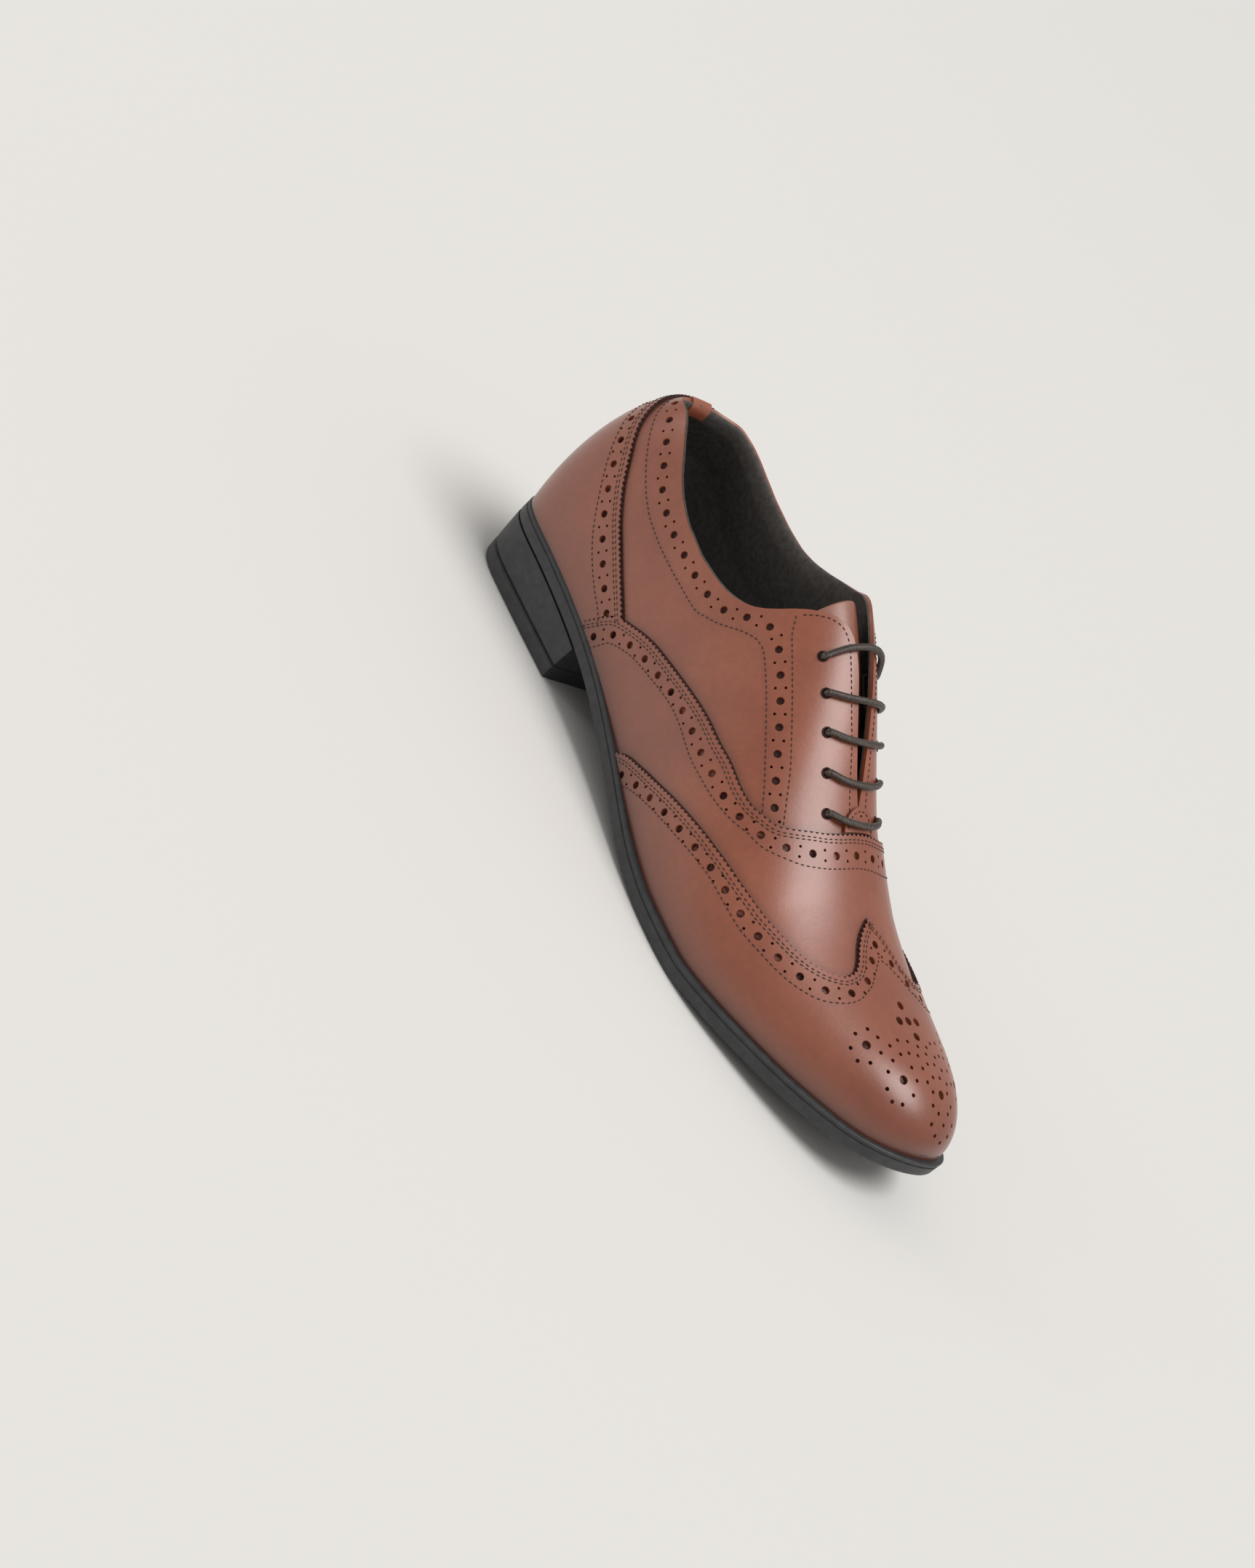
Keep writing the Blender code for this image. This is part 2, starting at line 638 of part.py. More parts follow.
def lace_route():
    """The middle of the lace: over a bar, down an eyelet, along inside to the next, and so on."""
    over = LACE_RADIUS + 2 * GAP
    under = -WALL - LACE_RADIUS - 2 * GAP
    tab_lift = LAYER + 2 * GAP
    points = []

    def bend(eye, towards, level, turning_in):
        """A quarter turn between the eyelet's own line and a run at the given level."""
        base, out = skin(*eye)
        away = Vector(towards) - Vector(towards).project(Vector(out))
        away.normalize()
        sign = 1.0 if level > 0 else -1.0
        turn = [
            Vector(base) + Vector(out) * (level - sign * LACE_BEND * (1 - math.sin(angle)))
            + away * LACE_BEND * (1 - math.cos(angle))
            for angle in (0.0, math.pi / 4)
        ]
        return turn[::-1] if turning_in else turn

    for bar in range(BARS):
        start = OUTER if bar % 2 == 0 else INNER
        here, there = eyelet(bar, start), eyelet(bar, -start)
        level = over + (tab_lift if bar == BARS - 1 else 0.0)
        across = Vector((0, -start, 0))
        points += bend(here, across, level, False)
        for share in (0.25, 0.5, 0.75):
            side = start if share <= 0.5 else -start
            eye = here if share <= 0.5 else there
            reach = 2 * abs(0.5 - share)
            s = float(station(along_of(eye[0]) + BAR_SAG / LAST_LENGTH * (1 - reach * reach) * (bar > 0)))
            points.append(Vector(skin(s, 1 - (1 - eye[1]) * reach, side, level)[0]))
        points += bend(there, -across, level, True)
        if bar == BARS - 1:
            break
        follow = eyelet(bar + 1, -start)
        points += bend(there, Vector((1, 0, 0)), under, False)
        s = (there[0] + follow[0]) / 2
        points.append(Vector(skin(s, (there[1] + follow[1]) / 2, -start, under)[0]))
        points += bend(follow, Vector((-1, 0, 0)), under, True)
    return points


def make_lace(where):
    """One lace through all the eyelets, its hidden end under the first of them."""
    route = [Vector(skin(*eyelet(0, OUTER), -WALL - 2 * LACE_RADIUS)[0])] + lace_route()
    route.append(Vector(skin(*eyelet(BARS - 1, INNER if BARS % 2 else OUTER), -WALL - 2 * LACE_RADIUS)[0]))
    data = bpy.data.curves.new("lace", "CURVE")
    data.dimensions = "3D"
    data.bevel_depth = LACE_RADIUS
    data.bevel_resolution = 2
    data.use_fill_caps = True
    spline = data.splines.new("POLY")
    spline.points.add(len(route) - 1)
    for point, place in zip(spline.points, route):
        point.co = (*place, 1.0)
    finished("lace", data, "lace_cord", where)


def centre_on_origin(root, where):
    """Moves the shoe so that the floor is at z = 0 and the middle of its box is over the origin."""
    bpy.context.view_layer.update()
    graph = bpy.context.evaluated_depsgraph_get()
    lowest, highest = np.full(3, np.inf), np.full(3, -np.inf)
    for piece in where.objects:
        if piece.type == "EMPTY":
            continue
        shape = piece.evaluated_get(graph)
        points = np.array([vert.co for vert in shape.to_mesh().vertices])
        shape.to_mesh_clear()
        lowest = np.minimum(lowest, points.min(axis=0))
        highest = np.maximum(highest, points.max(axis=0))
    middle = (lowest + highest) / 2
    root.location = (-middle[0], -middle[1], 0.0)


def main():
    for old in list(bpy.data.objects):
        bpy.data.objects.remove(old, do_unlink=True)
    scene = bpy.context.scene
    scene.unit_settings.system = "METRIC"
    shoe = bpy.data.collections.new("brogue_shoe")
    cutters = bpy.data.collections.new("cutters")
    scene.collection.children.link(shoe)
    scene.collection.children.link(cutters)
    root = bpy.data.objects.new("brogue_shoe", None)
    shoe.objects.link(root)
    make_outsole(shoe)
    make_heel(shoe)
    make_insole(shoe)
    make_upper(shoe, cutters)
    make_overlay("vamp", VAMP_ALONG, LAYER_GAP + LAYER, shoe)
    make_overlay("wing_cap", CAP_ALONG, 2 * (LAYER_GAP + LAYER), shoe)
    make_counter(shoe)
    make_tongue(shoe)
    make_throat_tab(shoe)
    make_back_strap(shoe)
    make_lace(shoe)
    centre_on_origin(root, shoe)


main()
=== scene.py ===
# %% [markdown]
# # A wing-cap brogue, dressed for its picture
#
# The imported CAD model is the frame: it gives every piece of the shoe its place and its real size. This
# lesson dresses it. Each leather piece is cut again, much finer, over the same last, and then gets what a
# shoemaker adds last: gimped edges, punched holes, stitching, a padded lining, rims in the eyelets and a
# woven lace.
#
# We load the frame first; the boxes of its parts are read from it where they are needed. The finished
# looks may not outgrow it.

# %% Load the frame
import math

import bmesh
import bpy
import numpy as np
from mathutils import Matrix, Quaternion, Vector


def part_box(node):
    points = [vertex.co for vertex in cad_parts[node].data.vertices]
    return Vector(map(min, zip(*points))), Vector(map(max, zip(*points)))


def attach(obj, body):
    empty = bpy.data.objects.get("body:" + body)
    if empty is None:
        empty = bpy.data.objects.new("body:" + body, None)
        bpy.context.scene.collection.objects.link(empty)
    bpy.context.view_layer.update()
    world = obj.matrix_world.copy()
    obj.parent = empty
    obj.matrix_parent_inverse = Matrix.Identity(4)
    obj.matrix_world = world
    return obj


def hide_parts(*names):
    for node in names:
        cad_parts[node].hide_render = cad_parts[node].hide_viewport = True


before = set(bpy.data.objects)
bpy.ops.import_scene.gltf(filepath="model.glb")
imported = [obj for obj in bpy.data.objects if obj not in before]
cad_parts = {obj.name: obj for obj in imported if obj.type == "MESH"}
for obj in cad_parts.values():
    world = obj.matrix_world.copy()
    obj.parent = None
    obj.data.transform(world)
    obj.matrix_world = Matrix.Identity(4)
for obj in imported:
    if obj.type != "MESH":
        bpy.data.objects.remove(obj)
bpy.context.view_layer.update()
print("CAD nodes:", ", ".join(sorted(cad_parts)))

# %% [markdown]
# ## The camera
#
# A picture is matched in this order: where the camera stands, where it looks, and how long its lens is. The
# photo was taken with the shoe leaning, so the same view of a standing shoe needs a camera rolled about its
# own line of sight. `to_track_quat` turns the camera's -Z to the target, and a turn about its own Z adds
# the roll.

# %% Place the camera
CAMERA_AT = Vector((0.3897, -0.6880, 0.3499))
CAMERA_AIM = Vector((0.0218, -0.0894, 0.0400))
CAMERA_ROLL = math.radians(48.1)
CAMERA_LENS = 55.1


def linked(name, data):
    """A new object in the scene."""
    made = bpy.data.objects.new(name, data)
    bpy.context.scene.collection.objects.link(made)
    return made


def aimed(name, data, place, aim):
    """A camera or lamp that stands at one point and looks at another."""
    made = linked(name, data)
    made.location = place
    made.rotation_mode = "QUATERNION"
    made.rotation_quaternion = (Vector(aim) - Vector(place)).to_track_quat("-Z", "Y")
    return made


camera_data = bpy.data.cameras.new("camera")
camera_data.lens = CAMERA_LENS
camera_data.clip_end = 100.0
camera = aimed("camera", camera_data, CAMERA_AT, CAMERA_AIM)
camera.rotation_quaternion = camera.rotation_quaternion @ Quaternion((0, 0, 1), CAMERA_ROLL)
bpy.context.scene.camera = camera
print("The camera stands", round((CAMERA_AIM - CAMERA_AT).length, 3), "m from its target.")

# %% [markdown]
# ## The last
#
# A shoe is built over a last, a wooden form of the foot. One function gives a point of the last for a
# station `s` along it and a place `g` round it, and every leather piece is that function at some distance
# outwards. `g` runs from 0 at the outer feather line over the crest at 1 to 2 at the inner feather line,
# and a negative station goes on round the heel to the inner side. So one grid can wrap the whole shoe with
# no seam.
#
# The sections are a short table in shares of the last's sizes, as a last maker writes them down, and a
# cubic curve runs through each column.

# %% The sizes and sections of the last
LAST_LENGTH = 0.2920
BALL_WIDTH = 0.0960
INSTEP_RISE = 0.0975
HEEL_PITCH = 0.0210
TOE_SPRING = 0.0150
HEEL_FAN = 0.0340
SOLE_THICKNESS = 0.0070
WELT_TOE = 0.0050
WELT_HEEL = 0.0018

SECTION_COLUMNS = (
    "along half centre seat spring rise crown tilt "
    "lean_in lean_out low_in low_out top_in top_out"
).split()
SECTIONS = [
    (0.000, 0.000, 0.000, 0.98, 0.00, 0.830, 0.000, 0.00, 0.086, 0.086, 0.59, 0.59, 0.72, 0.72),
    (0.040, 0.280, -0.012, 1.00, 0.00, 0.860, 0.000, 0.00, 0.080, 0.074, 0.60, 0.57, 0.74, 0.71),
    (0.118, 0.332, -0.008, 1.00, 0.00, 0.935, 0.000, 0.00, 0.062, 0.060, 0.60, 0.58, 0.70, 0.68),
    (0.210, 0.334, -0.015, 0.92, 0.00, 0.985, -0.005, 0.00, 0.052, 0.042, 0.58, 0.57, 0.66, 0.65),
    (0.304, 0.325, -0.030, 0.73, 0.00, 1.010, -0.012, 0.06, 0.074, 0.043, 0.52, 0.55, 0.62, 0.62),
    (0.388, 0.326, -0.050, 0.50, 0.00, 0.985, -0.018, 0.12, 0.095, 0.043, 0.48, 0.50, 0.62, 0.62),
    (0.473, 0.356, -0.060, 0.27, 0.00, 0.910, -0.022, 0.12, 0.085, 0.042, 0.47, 0.48, 0.61, 0.60),
    (0.557, 0.412, -0.056, 0.08, 0.00, 0.775, -0.027, 0.12, 0.064, 0.042, 0.47, 0.46, 0.59, 0.58),
    (0.642, 0.469, -0.038, -0.01, 0.00, 0.600, -0.031, 0.12, 0.044, 0.036, 0.49, 0.46, 0.57, 0.56),
    (0.709, 0.492, -0.021, -0.01, 0.00, 0.478, -0.031, 0.12, 0.034, 0.031, 0.53, 0.48, 0.57, 0.56),
    (0.764, 0.484, 0.000, 0.00, 0.10, 0.392, -0.027, 0.12, 0.028, 0.026, 0.56, 0.50, 0.59, 0.56),
    (0.828, 0.434, 0.022, 0.00, 0.25, 0.325, -0.008, 0.08, 0.023, 0.020, 0.61, 0.55, 0.61, 0.58),
    (0.885, 0.368, 0.035, 0.00, 0.41, 0.282, 0.012, 0.05, 0.017, 0.015, 0.63, 0.60, 0.63, 0.60),
    (0.939, 0.279, 0.041, 0.00, 0.61, 0.232, 0.031, 0.01, 0.010, 0.010, 0.62, 0.62, 0.62, 0.62),
    (0.976, 0.188, 0.047, 0.00, 0.79, 0.155, 0.045, 0.00, 0.004, 0.004, 0.60, 0.60, 0.60, 0.60),
    (1.000, 0.000, 0.066, 0.00, 0.96, 0.000, 0.066, 0.00, 0.000, 0.000, 0.55, 0.55, 0.55, 0.55),
]


def cubic(places, values, slopes):
    """The cubic with the given values and slopes, held level outside its ends."""

    def at(place):
        place = np.clip(np.asarray(place, float), places[0], places[-1])
        i = np.clip(np.searchsorted(places, place, side="right") - 1, 0, len(places) - 2)
        width = places[i + 1] - places[i]
        u = (place - places[i]) / width
        return (
            (1 + 2 * u) * (1 - u) ** 2 * values[i]
            + u * (1 - u) ** 2 * width * slopes[i]
            + u * u * (3 - 2 * u) * values[i + 1]
            + u * u * (u - 1) * width * slopes[i + 1]
        )

    return at


def smooth_curve(places, values):
    """The natural cubic through the points, which bends as little as it can."""
    places, values = np.asarray(places, float), np.asarray(values, float)
    steps, rises = np.diff(places), np.diff(values)
    count = len(places)
    system, right = np.zeros((count, count)), np.zeros(count)
    system[0, :2], right[0] = (2, 1), 3 * rises[0] / steps[0]
    system[-1, -2:], right[-1] = (1, 2), 3 * rises[-1] / steps[-1]
    for i in range(1, count - 1):
        system[i, i - 1 : i + 2] = steps[i], 2 * (steps[i - 1] + steps[i]), steps[i - 1]
        right[i] = 3 * (steps[i] * rises[i - 1] / steps[i - 1] + steps[i - 1] * rises[i] / steps[i])
    return cubic(places, values, np.linalg.solve(system, right))


def steady_curve(rows, column=1):
    """A cubic through the rows of a table that never runs past them between two of them."""
    places = np.array([row[0] for row in rows], float)
    values = np.array([row[column] for row in rows], float)
    slopes = np.diff(values) / np.diff(places)
    before, after = slopes[:-1], slopes[1:]
    same_way = before * after > 0
    inner = np.where(same_way, 2 * before * after / np.where(same_way, before + after, 1.0), 0.0)
    return cubic(places, values, np.concatenate([slopes[:1], inner, slopes[-1:]]))


def station(along):
    """The station at a share of the length: stations crowd at heel and toe, which makes both round."""
    return np.arccos(np.clip(1 - 2 * np.asarray(along, float), -1, 1)) / math.pi


def share_along(s):
    """The share of the length at a station."""
    return (1 - np.cos(math.pi * s)) / 2


COLUMN = {
    name: smooth_curve([station(row[0]) for row in SECTIONS], [row[i] for row in SECTIONS])
    for i, name in enumerate(SECTION_COLUMNS)
    if name not in ("along", "seat", "spring")
}
SOLE_LIFT = smooth_curve(
    [row[0] for row in SECTIONS], [row[3] * HEEL_PITCH + row[4] * TOE_SPRING for row in SECTIONS]
)
print("The last has", len(SECTIONS), "sections and", len(COLUMN), "curves.")

# %% [markdown]
# The frame tells us where the last stands in it: the outsole's rear end is the welt's width behind the
# last's heel, and the outsole's box is centred on the X axis. From there `last_at` gives points, `skin`
# moves them outwards, and `settle` goes the other way: it finds the station and place of a point near the
# surface, by Newton's method, so that we can measure real distances over the leather.

# %% Points of the last and of its skin
HEEL_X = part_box("outsole")[0].x + WELT_HEEL
TINY = 1e-9
TOE_NEARNESS = 0.9990
MOST_ALONG = 0.02
MOST_AROUND = 0.06


def feather_height(x):
    """How high the sole's top face, where the upper meets it, lies above the floor; x is from the heel."""
    share = np.asarray(x, float) / LAST_LENGTH
    past = np.maximum(share - 1.0, 0.0)
    near = 0.01
    toe_slope = (SOLE_LIFT(1.0) - SOLE_LIFT(1.0 - near)) / near
    return SOLE_THICKNESS + np.maximum(SOLE_LIFT(share) + toe_slope * past, 0.0)


def plain_last(s, g):
    """A point of the last before it is shifted to the frame."""
    s, g = np.broadcast_arrays(np.asarray(s, float), np.asarray(g, float))
    g = np.where(s < 0, 2 - g, g)
    s = np.minimum(np.abs(s), 1.0)
    inner = g > 1
    t = np.clip(np.where(inner, 2 - g, g), 0, 1)
    side = np.where(inner, 1.0, -1.0)
    lean, low, top = (
        np.where(inner, COLUMN[name + "_in"](s), COLUMN[name + "_out"](s)) for name in ("lean", "low", "top")
    )
    x = LAST_LENGTH * share_along(s)
    y = BALL_WIDTH * (COLUMN["centre"](s) + side * COLUMN["half"](s))
    low_z = feather_height(x)
    rise = INSTEP_RISE * COLUMN["rise"](s)
    middle_x = np.maximum(x, HEEL_FAN)
    middle_y = BALL_WIDTH * COLUMN["crown"](s)
    reach = np.hypot(x - middle_x, y - middle_y) + TINY
    fanned = x < HEEL_FAN
    out_x = np.where(fanned, (x - middle_x) / reach, 0.0)
    out_y = np.where(fanned, (y - middle_y) / reach, side)
    reach = np.where(fanned, reach, side * (y - middle_y))
    wide = reach + BALL_WIDTH * lean
    narrow = reach * top
    narrow_z = low_z + rise + side * COLUMN["tilt"](s) * narrow
    weights = (1 - t) ** 3, 3 * (1 - t) ** 2 * t, 3 * (1 - t) * t * t, t**3
    out = weights[0] * reach + weights[1] * wide + weights[2] * narrow
    z = weights[0] * low_z + weights[1] * (low_z + rise * low) + weights[2] * narrow_z
    z = z + weights[3] * (low_z + rise)
    return np.stack([middle_x + out_x * out, middle_y + out_y * out, z], axis=-1)


SAMPLES = np.linspace(0, 1, 400)
SIDES = [plain_last(SAMPLES, g)[:, 1] + way * WELT_TOE for g, way in ((0.0, -1), (2.0, 1))]
SHIFT = np.array([HEEL_X, -(SIDES[0].min() + SIDES[1].max()) / 2, 0.0])


def last_at(s, g):
    """A point of the last in the frame."""
    return plain_last(s, g) + SHIFT


def unit(vectors):
    """Vectors brought to length one; a zero vector stays zero."""
    return vectors / (np.linalg.norm(vectors, axis=-1, keepdims=True) + 1e-15)


def skin(s, g, off=0.0):
    """Points off metres outside the last, and the directions out of it, level where it turns under."""
    s, g, off = np.broadcast_arrays(np.asarray(s, float), np.asarray(g, float), np.asarray(off, float))
    step = 4e-4
    s_near, g_near = np.clip(s, -TOE_NEARNESS, TOE_NEARNESS), np.clip(g, step, 2 - step)
    forward = last_at(s_near + step, g_near) - last_at(s_near - step, g_near)
    around = last_at(s_near, g_near + step) - last_at(s_near, g_near - step)
    out = np.cross(forward, around)
    out[..., 2] = np.maximum(out[..., 2], 0.0)
    out = unit(out)
    return last_at(s, g) + out * off[..., None], out


def settle(points, s, g):
    """The station and place of points near the last, from a guess that is not far off."""
    s, g = np.array(s, float), np.array(g, float)
    step, rounds = 2e-4, 6
    for _ in range(rounds):
        along = (last_at(s + step, g) - last_at(s - step, g)) / (2 * step)
        around = (last_at(s, g + step) - last_at(s, g - step)) / (2 * step)
        miss = points - last_at(s, g)
        a, b, c = (along * along).sum(-1), (along * around).sum(-1), (around * around).sum(-1)
        u, v = (along * miss).sum(-1), (around * miss).sum(-1)
        scale = a * c - b * b + 1e-12
        s = s + np.clip((c * u - b * v) / scale, -MOST_ALONG, MOST_ALONG)
        g = g + np.clip((a * v - b * u) / scale, -MOST_AROUND, MOST_AROUND)
    return s, g


print("The last stands at", SHIFT.round(4).tolist())

# %% [markdown]
# ## Paths over the leather
#
# Edges, stitch rows and rows of holes are paths over the last. A path is two arrays, stations and places,
# and these helpers measure it, walk it in even steps, and set it off sideways by a distance in metres.

# %% Helpers for paths
LENGTH_UNITS = 296.0
UP_WEIGHT = 0.35
PATH_POINTS = 400


def arc_lengths(points):
    """Distances along a line of points, from its first."""
    return np.concatenate([[0], np.cumsum(np.linalg.norm(np.diff(points, axis=0), axis=1))])


def resampled(path, pitch, start=0.0, count=None):
    """Stations, places and distances at even steps of a path, measured over the last."""
    s, g = path
    distance = arc_lengths(last_at(s, g))
    if count:
        marks = np.linspace(0, distance[-1], count)
    else:
        marks = np.arange(start, distance[-1], pitch)
    return (np.interp(marks, distance, s), np.interp(marks, distance, g)), marks


def rough_length(path):
    """The length of a path over the last, rounded down to a centimetre."""
    return resampled(path, 0.01)[1][-1]


def sideways(path):
    """Unit directions to the left of a path's walking direction, along the last's surface."""
    s, g = path
    return np.cross(skin(s, g)[1], unit(np.gradient(last_at(s, g), axis=0)))


def set_off(path, distance):
    """A path moved sideways over the surface; a negative distance moves it to the right."""
    s, g = path
    target = last_at(s, g) + sideways(path) * np.asarray(distance, float).reshape(-1, 1)
    return settle(target, s, g)


def own_side(path, original):
    """Keeps the points that stay on their own side of the crest, so that a row mitres at a peak."""
    s, g = path
    keep = (g - 1) * (original[1] - 1) >= 0
    return s[keep], g[keep]


def from_rows(rows):
    """A fine path through a table's rows of length units and shares up the side."""
    along = np.array([row[0] for row in rows], float) / LENGTH_UNITS
    up = np.array([row[1] for row in rows], float)
    places = arc_lengths(np.stack([along, up * UP_WEIGHT], axis=1))
    fine = np.linspace(0, places[-1], PATH_POINTS)
    x = steady_curve(list(zip(places, along)))(fine)
    g = steady_curve(list(zip(places, up)))(fine)
    return station(x), g


def mirrored(path):
    return path[0][::-1], 2 - path[1][::-1]


def both_sides(path):
    """A path that climbs the outer side to the crest, joined to its mirror image down the inner side."""
    other = mirrored(path)
    return np.concatenate([path[0], other[0][1:]]), np.concatenate([path[1], other[1][1:]])


print("A path has", PATH_POINTS, "points before it is walked in even steps.")

# %% [markdown]
# ## Pattern lines
#
# The pattern cutter's lines come next, each a short table of places along the shoe and up its side: the top
# line, the gimped edges of vamp, wing cap and counter, and the rows that close their punched bands.

# %% The pattern cutter's tables
TOPLINE = [
    # along, inner, outer, as shares of the last's length and of the way up
    (0.000, 0.620, 0.620),
    (0.035, 0.600, 0.612),
    (0.068, 0.550, 0.585),
    (0.101, 0.505, 0.535),
    (0.135, 0.470, 0.470),
    (0.169, 0.450, 0.412),
    (0.203, 0.445, 0.375),
    (0.240, 0.455, 0.358),
    (0.270, 0.480, 0.358),
    (0.304, 0.530, 0.375),
    (0.338, 0.600, 0.410),
    (0.372, 0.690, 0.475),
    (0.392, 0.770, 0.545),
    (0.408, 0.830, 0.640),
    (0.424, 0.880, 0.745),
    (0.442, 0.910, 0.845),
    (0.462, 0.925, 0.900),
    (0.490, 0.935, 0.928),
    (0.530, 0.948, 0.942),
    (0.575, 0.965, 0.962),
    (0.612, 0.985, 0.985),
    (0.630, 1.000, 1.000),
]
VAMP_EDGE = [
    (71, 0), (73, 0.02), (80, 0.085), (90, 0.13), (100, 0.17), (110, 0.205), (120, 0.24), (130, 0.275),
    (140, 0.31), (150, 0.345), (160, 0.39), (170, 0.43), (177, 0.47), (183, 0.53), (187, 0.58), (190, 0.66),
    (192, 0.74), (193.5, 0.82), (194, 0.90), (194, 1),
]
VAMP_ROW = [
    (82, 0), (85, 0.03), (90, 0.07), (100, 0.11), (110, 0.145), (120, 0.18), (130, 0.21), (140, 0.225),
    (150, 0.25), (160, 0.285), (170, 0.33), (180, 0.41), (187, 0.47), (193, 0.52), (198, 0.59), (201, 0.67),
    (203, 0.75), (204, 0.85), (204, 1),
]
CAP_EDGE = [
    (127, 0), (130, 0.025), (140, 0.075), (150, 0.125), (160, 0.18), (170, 0.235), (180, 0.29), (190, 0.34),
    (200, 0.385), (210, 0.435), (220, 0.49), (230, 0.55), (235, 0.60), (238, 0.65), (240, 0.72), (239, 0.79),
    (235, 0.85), (230, 0.89), (225, 0.935), (220, 1),
]
CAP_ROW = [
    (140, 0), (150, 0.06), (160, 0.11), (170, 0.16), (180, 0.21), (190, 0.26), (200, 0.29), (210, 0.31),
    (220, 0.345), (230, 0.38), (240, 0.43), (246, 0.50), (249, 0.57), (250, 0.65), (249, 0.75), (246, 0.82),
    (240, 0.90), (236, 1),
]
COUNTER_EDGE = [
    (84, 0.10), (80, 0.11), (70, 0.135), (60, 0.165), (50, 0.20), (40, 0.25), (35, 0.285), (30, 0.325),
    (25, 0.365), (20, 0.41), (15, 0.465), (10, 0.52), (6, 0.558), (3, 0.583), (1, 0.597), (0, 0.602),
]
COUNTER_ROW = [
    (75, 0.05), (70, 0.055), (60, 0.075), (50, 0.105), (40, 0.155), (35, 0.19), (30, 0.23), (25, 0.27),
    (20, 0.32), (14, 0.38), (8, 0.44), (4, 0.475), (1, 0.495), (0, 0.50),
]
QUARTER_ROW = [
    (10, 0.56), (16, 0.50), (22, 0.45), (30, 0.39), (40, 0.33), (50, 0.29), (60, 0.27), (70, 0.265),
    (80, 0.27), (90, 0.285), (100, 0.31), (105, 0.34), (110, 0.375), (115, 0.42), (120, 0.465), (125, 0.50),
    (130, 0.515), (150, 0.52), (170, 0.525), (183, 0.515),
]
QUARTER_HOLES = [
    (9, 0.60), (15, 0.565), (20, 0.53), (30, 0.465), (40, 0.40), (50, 0.345), (60, 0.32), (70, 0.312),
    (80, 0.318), (90, 0.332), (100, 0.362), (105, 0.385), (110, 0.425), (115, 0.475), (120, 0.525),
    (126, 0.562), (135, 0.57), (160, 0.573), (186, 0.567),
]
FACING_BACK_ROW = [
    (123, 0.645), (130, 0.62), (140, 0.617), (160, 0.625), (170, 0.63), (180, 0.62), (188, 0.605),
]
FACING_ROW = [
    (124, 0.665), (127, 0.74), (130, 0.80), (134, 0.85), (139, 0.875), (150, 0.89), (160, 0.905),
    (170, 0.925), (180, 0.935), (189, 0.945),
]

TOP_OUTER = steady_curve([(station(row[0]), row[2]) for row in TOPLINE])
TOP_INNER = steady_curve([(station(row[0]), row[1]) for row in TOPLINE])
vamp_edge = both_sides(from_rows(VAMP_EDGE))
cap_edge = both_sides(from_rows(CAP_EDGE))
counter_edge = from_rows(COUNTER_EDGE)
for label, path in (("vamp", vamp_edge), ("wing cap", cap_edge)):
    print("The", label, "edge is about", round(rough_length(path) * 1000), "mm long.")

# %% [markdown]
# ## Materials
#
# Finished calf leather is a dyed, waxed skin. Three things make it read as leather: a base colour that
# wanders a little, a fine grain in the bump, and a darker tone: wax at the toe, at an overlay's own edge and
# along stitch rows, wax and painted shade along the sole, and painted shade where an overlay's edge lies on
# the piece beneath. The darkening follows the piece and not the world, so it is stored on the mesh as an
# attribute.

# %% Node helpers
def new_material(name):
    made = bpy.data.materials.new(name)
    made.use_nodes = True
    return made, made.node_tree, made.node_tree.nodes["Principled BSDF"]


def set_inputs(node, values):
    for name, value in values.items():
        node.inputs[name].default_value = value


def noise(tree, scale, detail=3.0, roughness=0.5):
    """A noise texture on Object coordinates; the scale counts its patches in a metre."""
    coordinates = tree.nodes.new("ShaderNodeTexCoord")
    texture = tree.nodes.new("ShaderNodeTexNoise")
    set_inputs(texture, {"Scale": scale, "Detail": detail, "Roughness": roughness})
    tree.links.new(coordinates.outputs["Object"], texture.inputs["Vector"])
    return texture.outputs["Fac"]


def ramp(tree, source, stops):
    """Colours or greys along a value from 0 to 1."""
    node = tree.nodes.new("ShaderNodeValToRGB")
    while len(node.color_ramp.elements) < len(stops):
        node.color_ramp.elements.new(0.5)
    for element, (place, colour) in zip(node.color_ramp.elements, stops):
        element.position = place
        element.color = (*colour, 1.0)
    tree.links.new(source, node.inputs["Fac"])
    return node.outputs["Color"]


def feed(tree, value, socket):
    """Links an output to a socket, or sets the socket to a plain value."""
    if isinstance(value, bpy.types.NodeSocket):
        tree.links.new(value, socket)
    else:
        socket.default_value = value


def mixed(tree, amount, first, second, kind="MIX"):
    """Two colours mixed by an amount; each of the three may be an output or a plain value."""
    node = tree.nodes.new("ShaderNodeMix")
    node.data_type = "RGBA"
    node.blend_type = kind
    for value, socket in ((amount, 0), (first, 6), (second, 7)):
        feed(tree, (*value, 1.0) if isinstance(value, tuple) else value, node.inputs[socket])
    return node.outputs[2]


def calculated(tree, operation, first, second):
    node = tree.nodes.new("ShaderNodeMath")
    node.operation = operation
    feed(tree, first, node.inputs[0])
    feed(tree, second, node.inputs[1])
    return node.outputs[0]


def bumped(tree, shader, source, strength, distance, normal=None):
    node = tree.nodes.new("ShaderNodeBump")
    set_inputs(node, {"Strength": strength, "Distance": distance})
    tree.links.new(source, node.inputs["Height"])
    if normal:
        tree.links.new(normal, node.inputs["Normal"])
    tree.links.new(node.outputs["Normal"], shader.inputs["Normal"])
    return node.outputs["Normal"]


def attribute(tree, name):
    node = tree.nodes.new("ShaderNodeAttribute")
    node.attribute_name = name
    return node.outputs["Fac"]


print("Node helpers are ready.")

# %% [markdown]
# One function makes every calf leather and another every dull material, each with two close tones and a
# bump. A ramp's grey above 1 lightens what it multiplies.

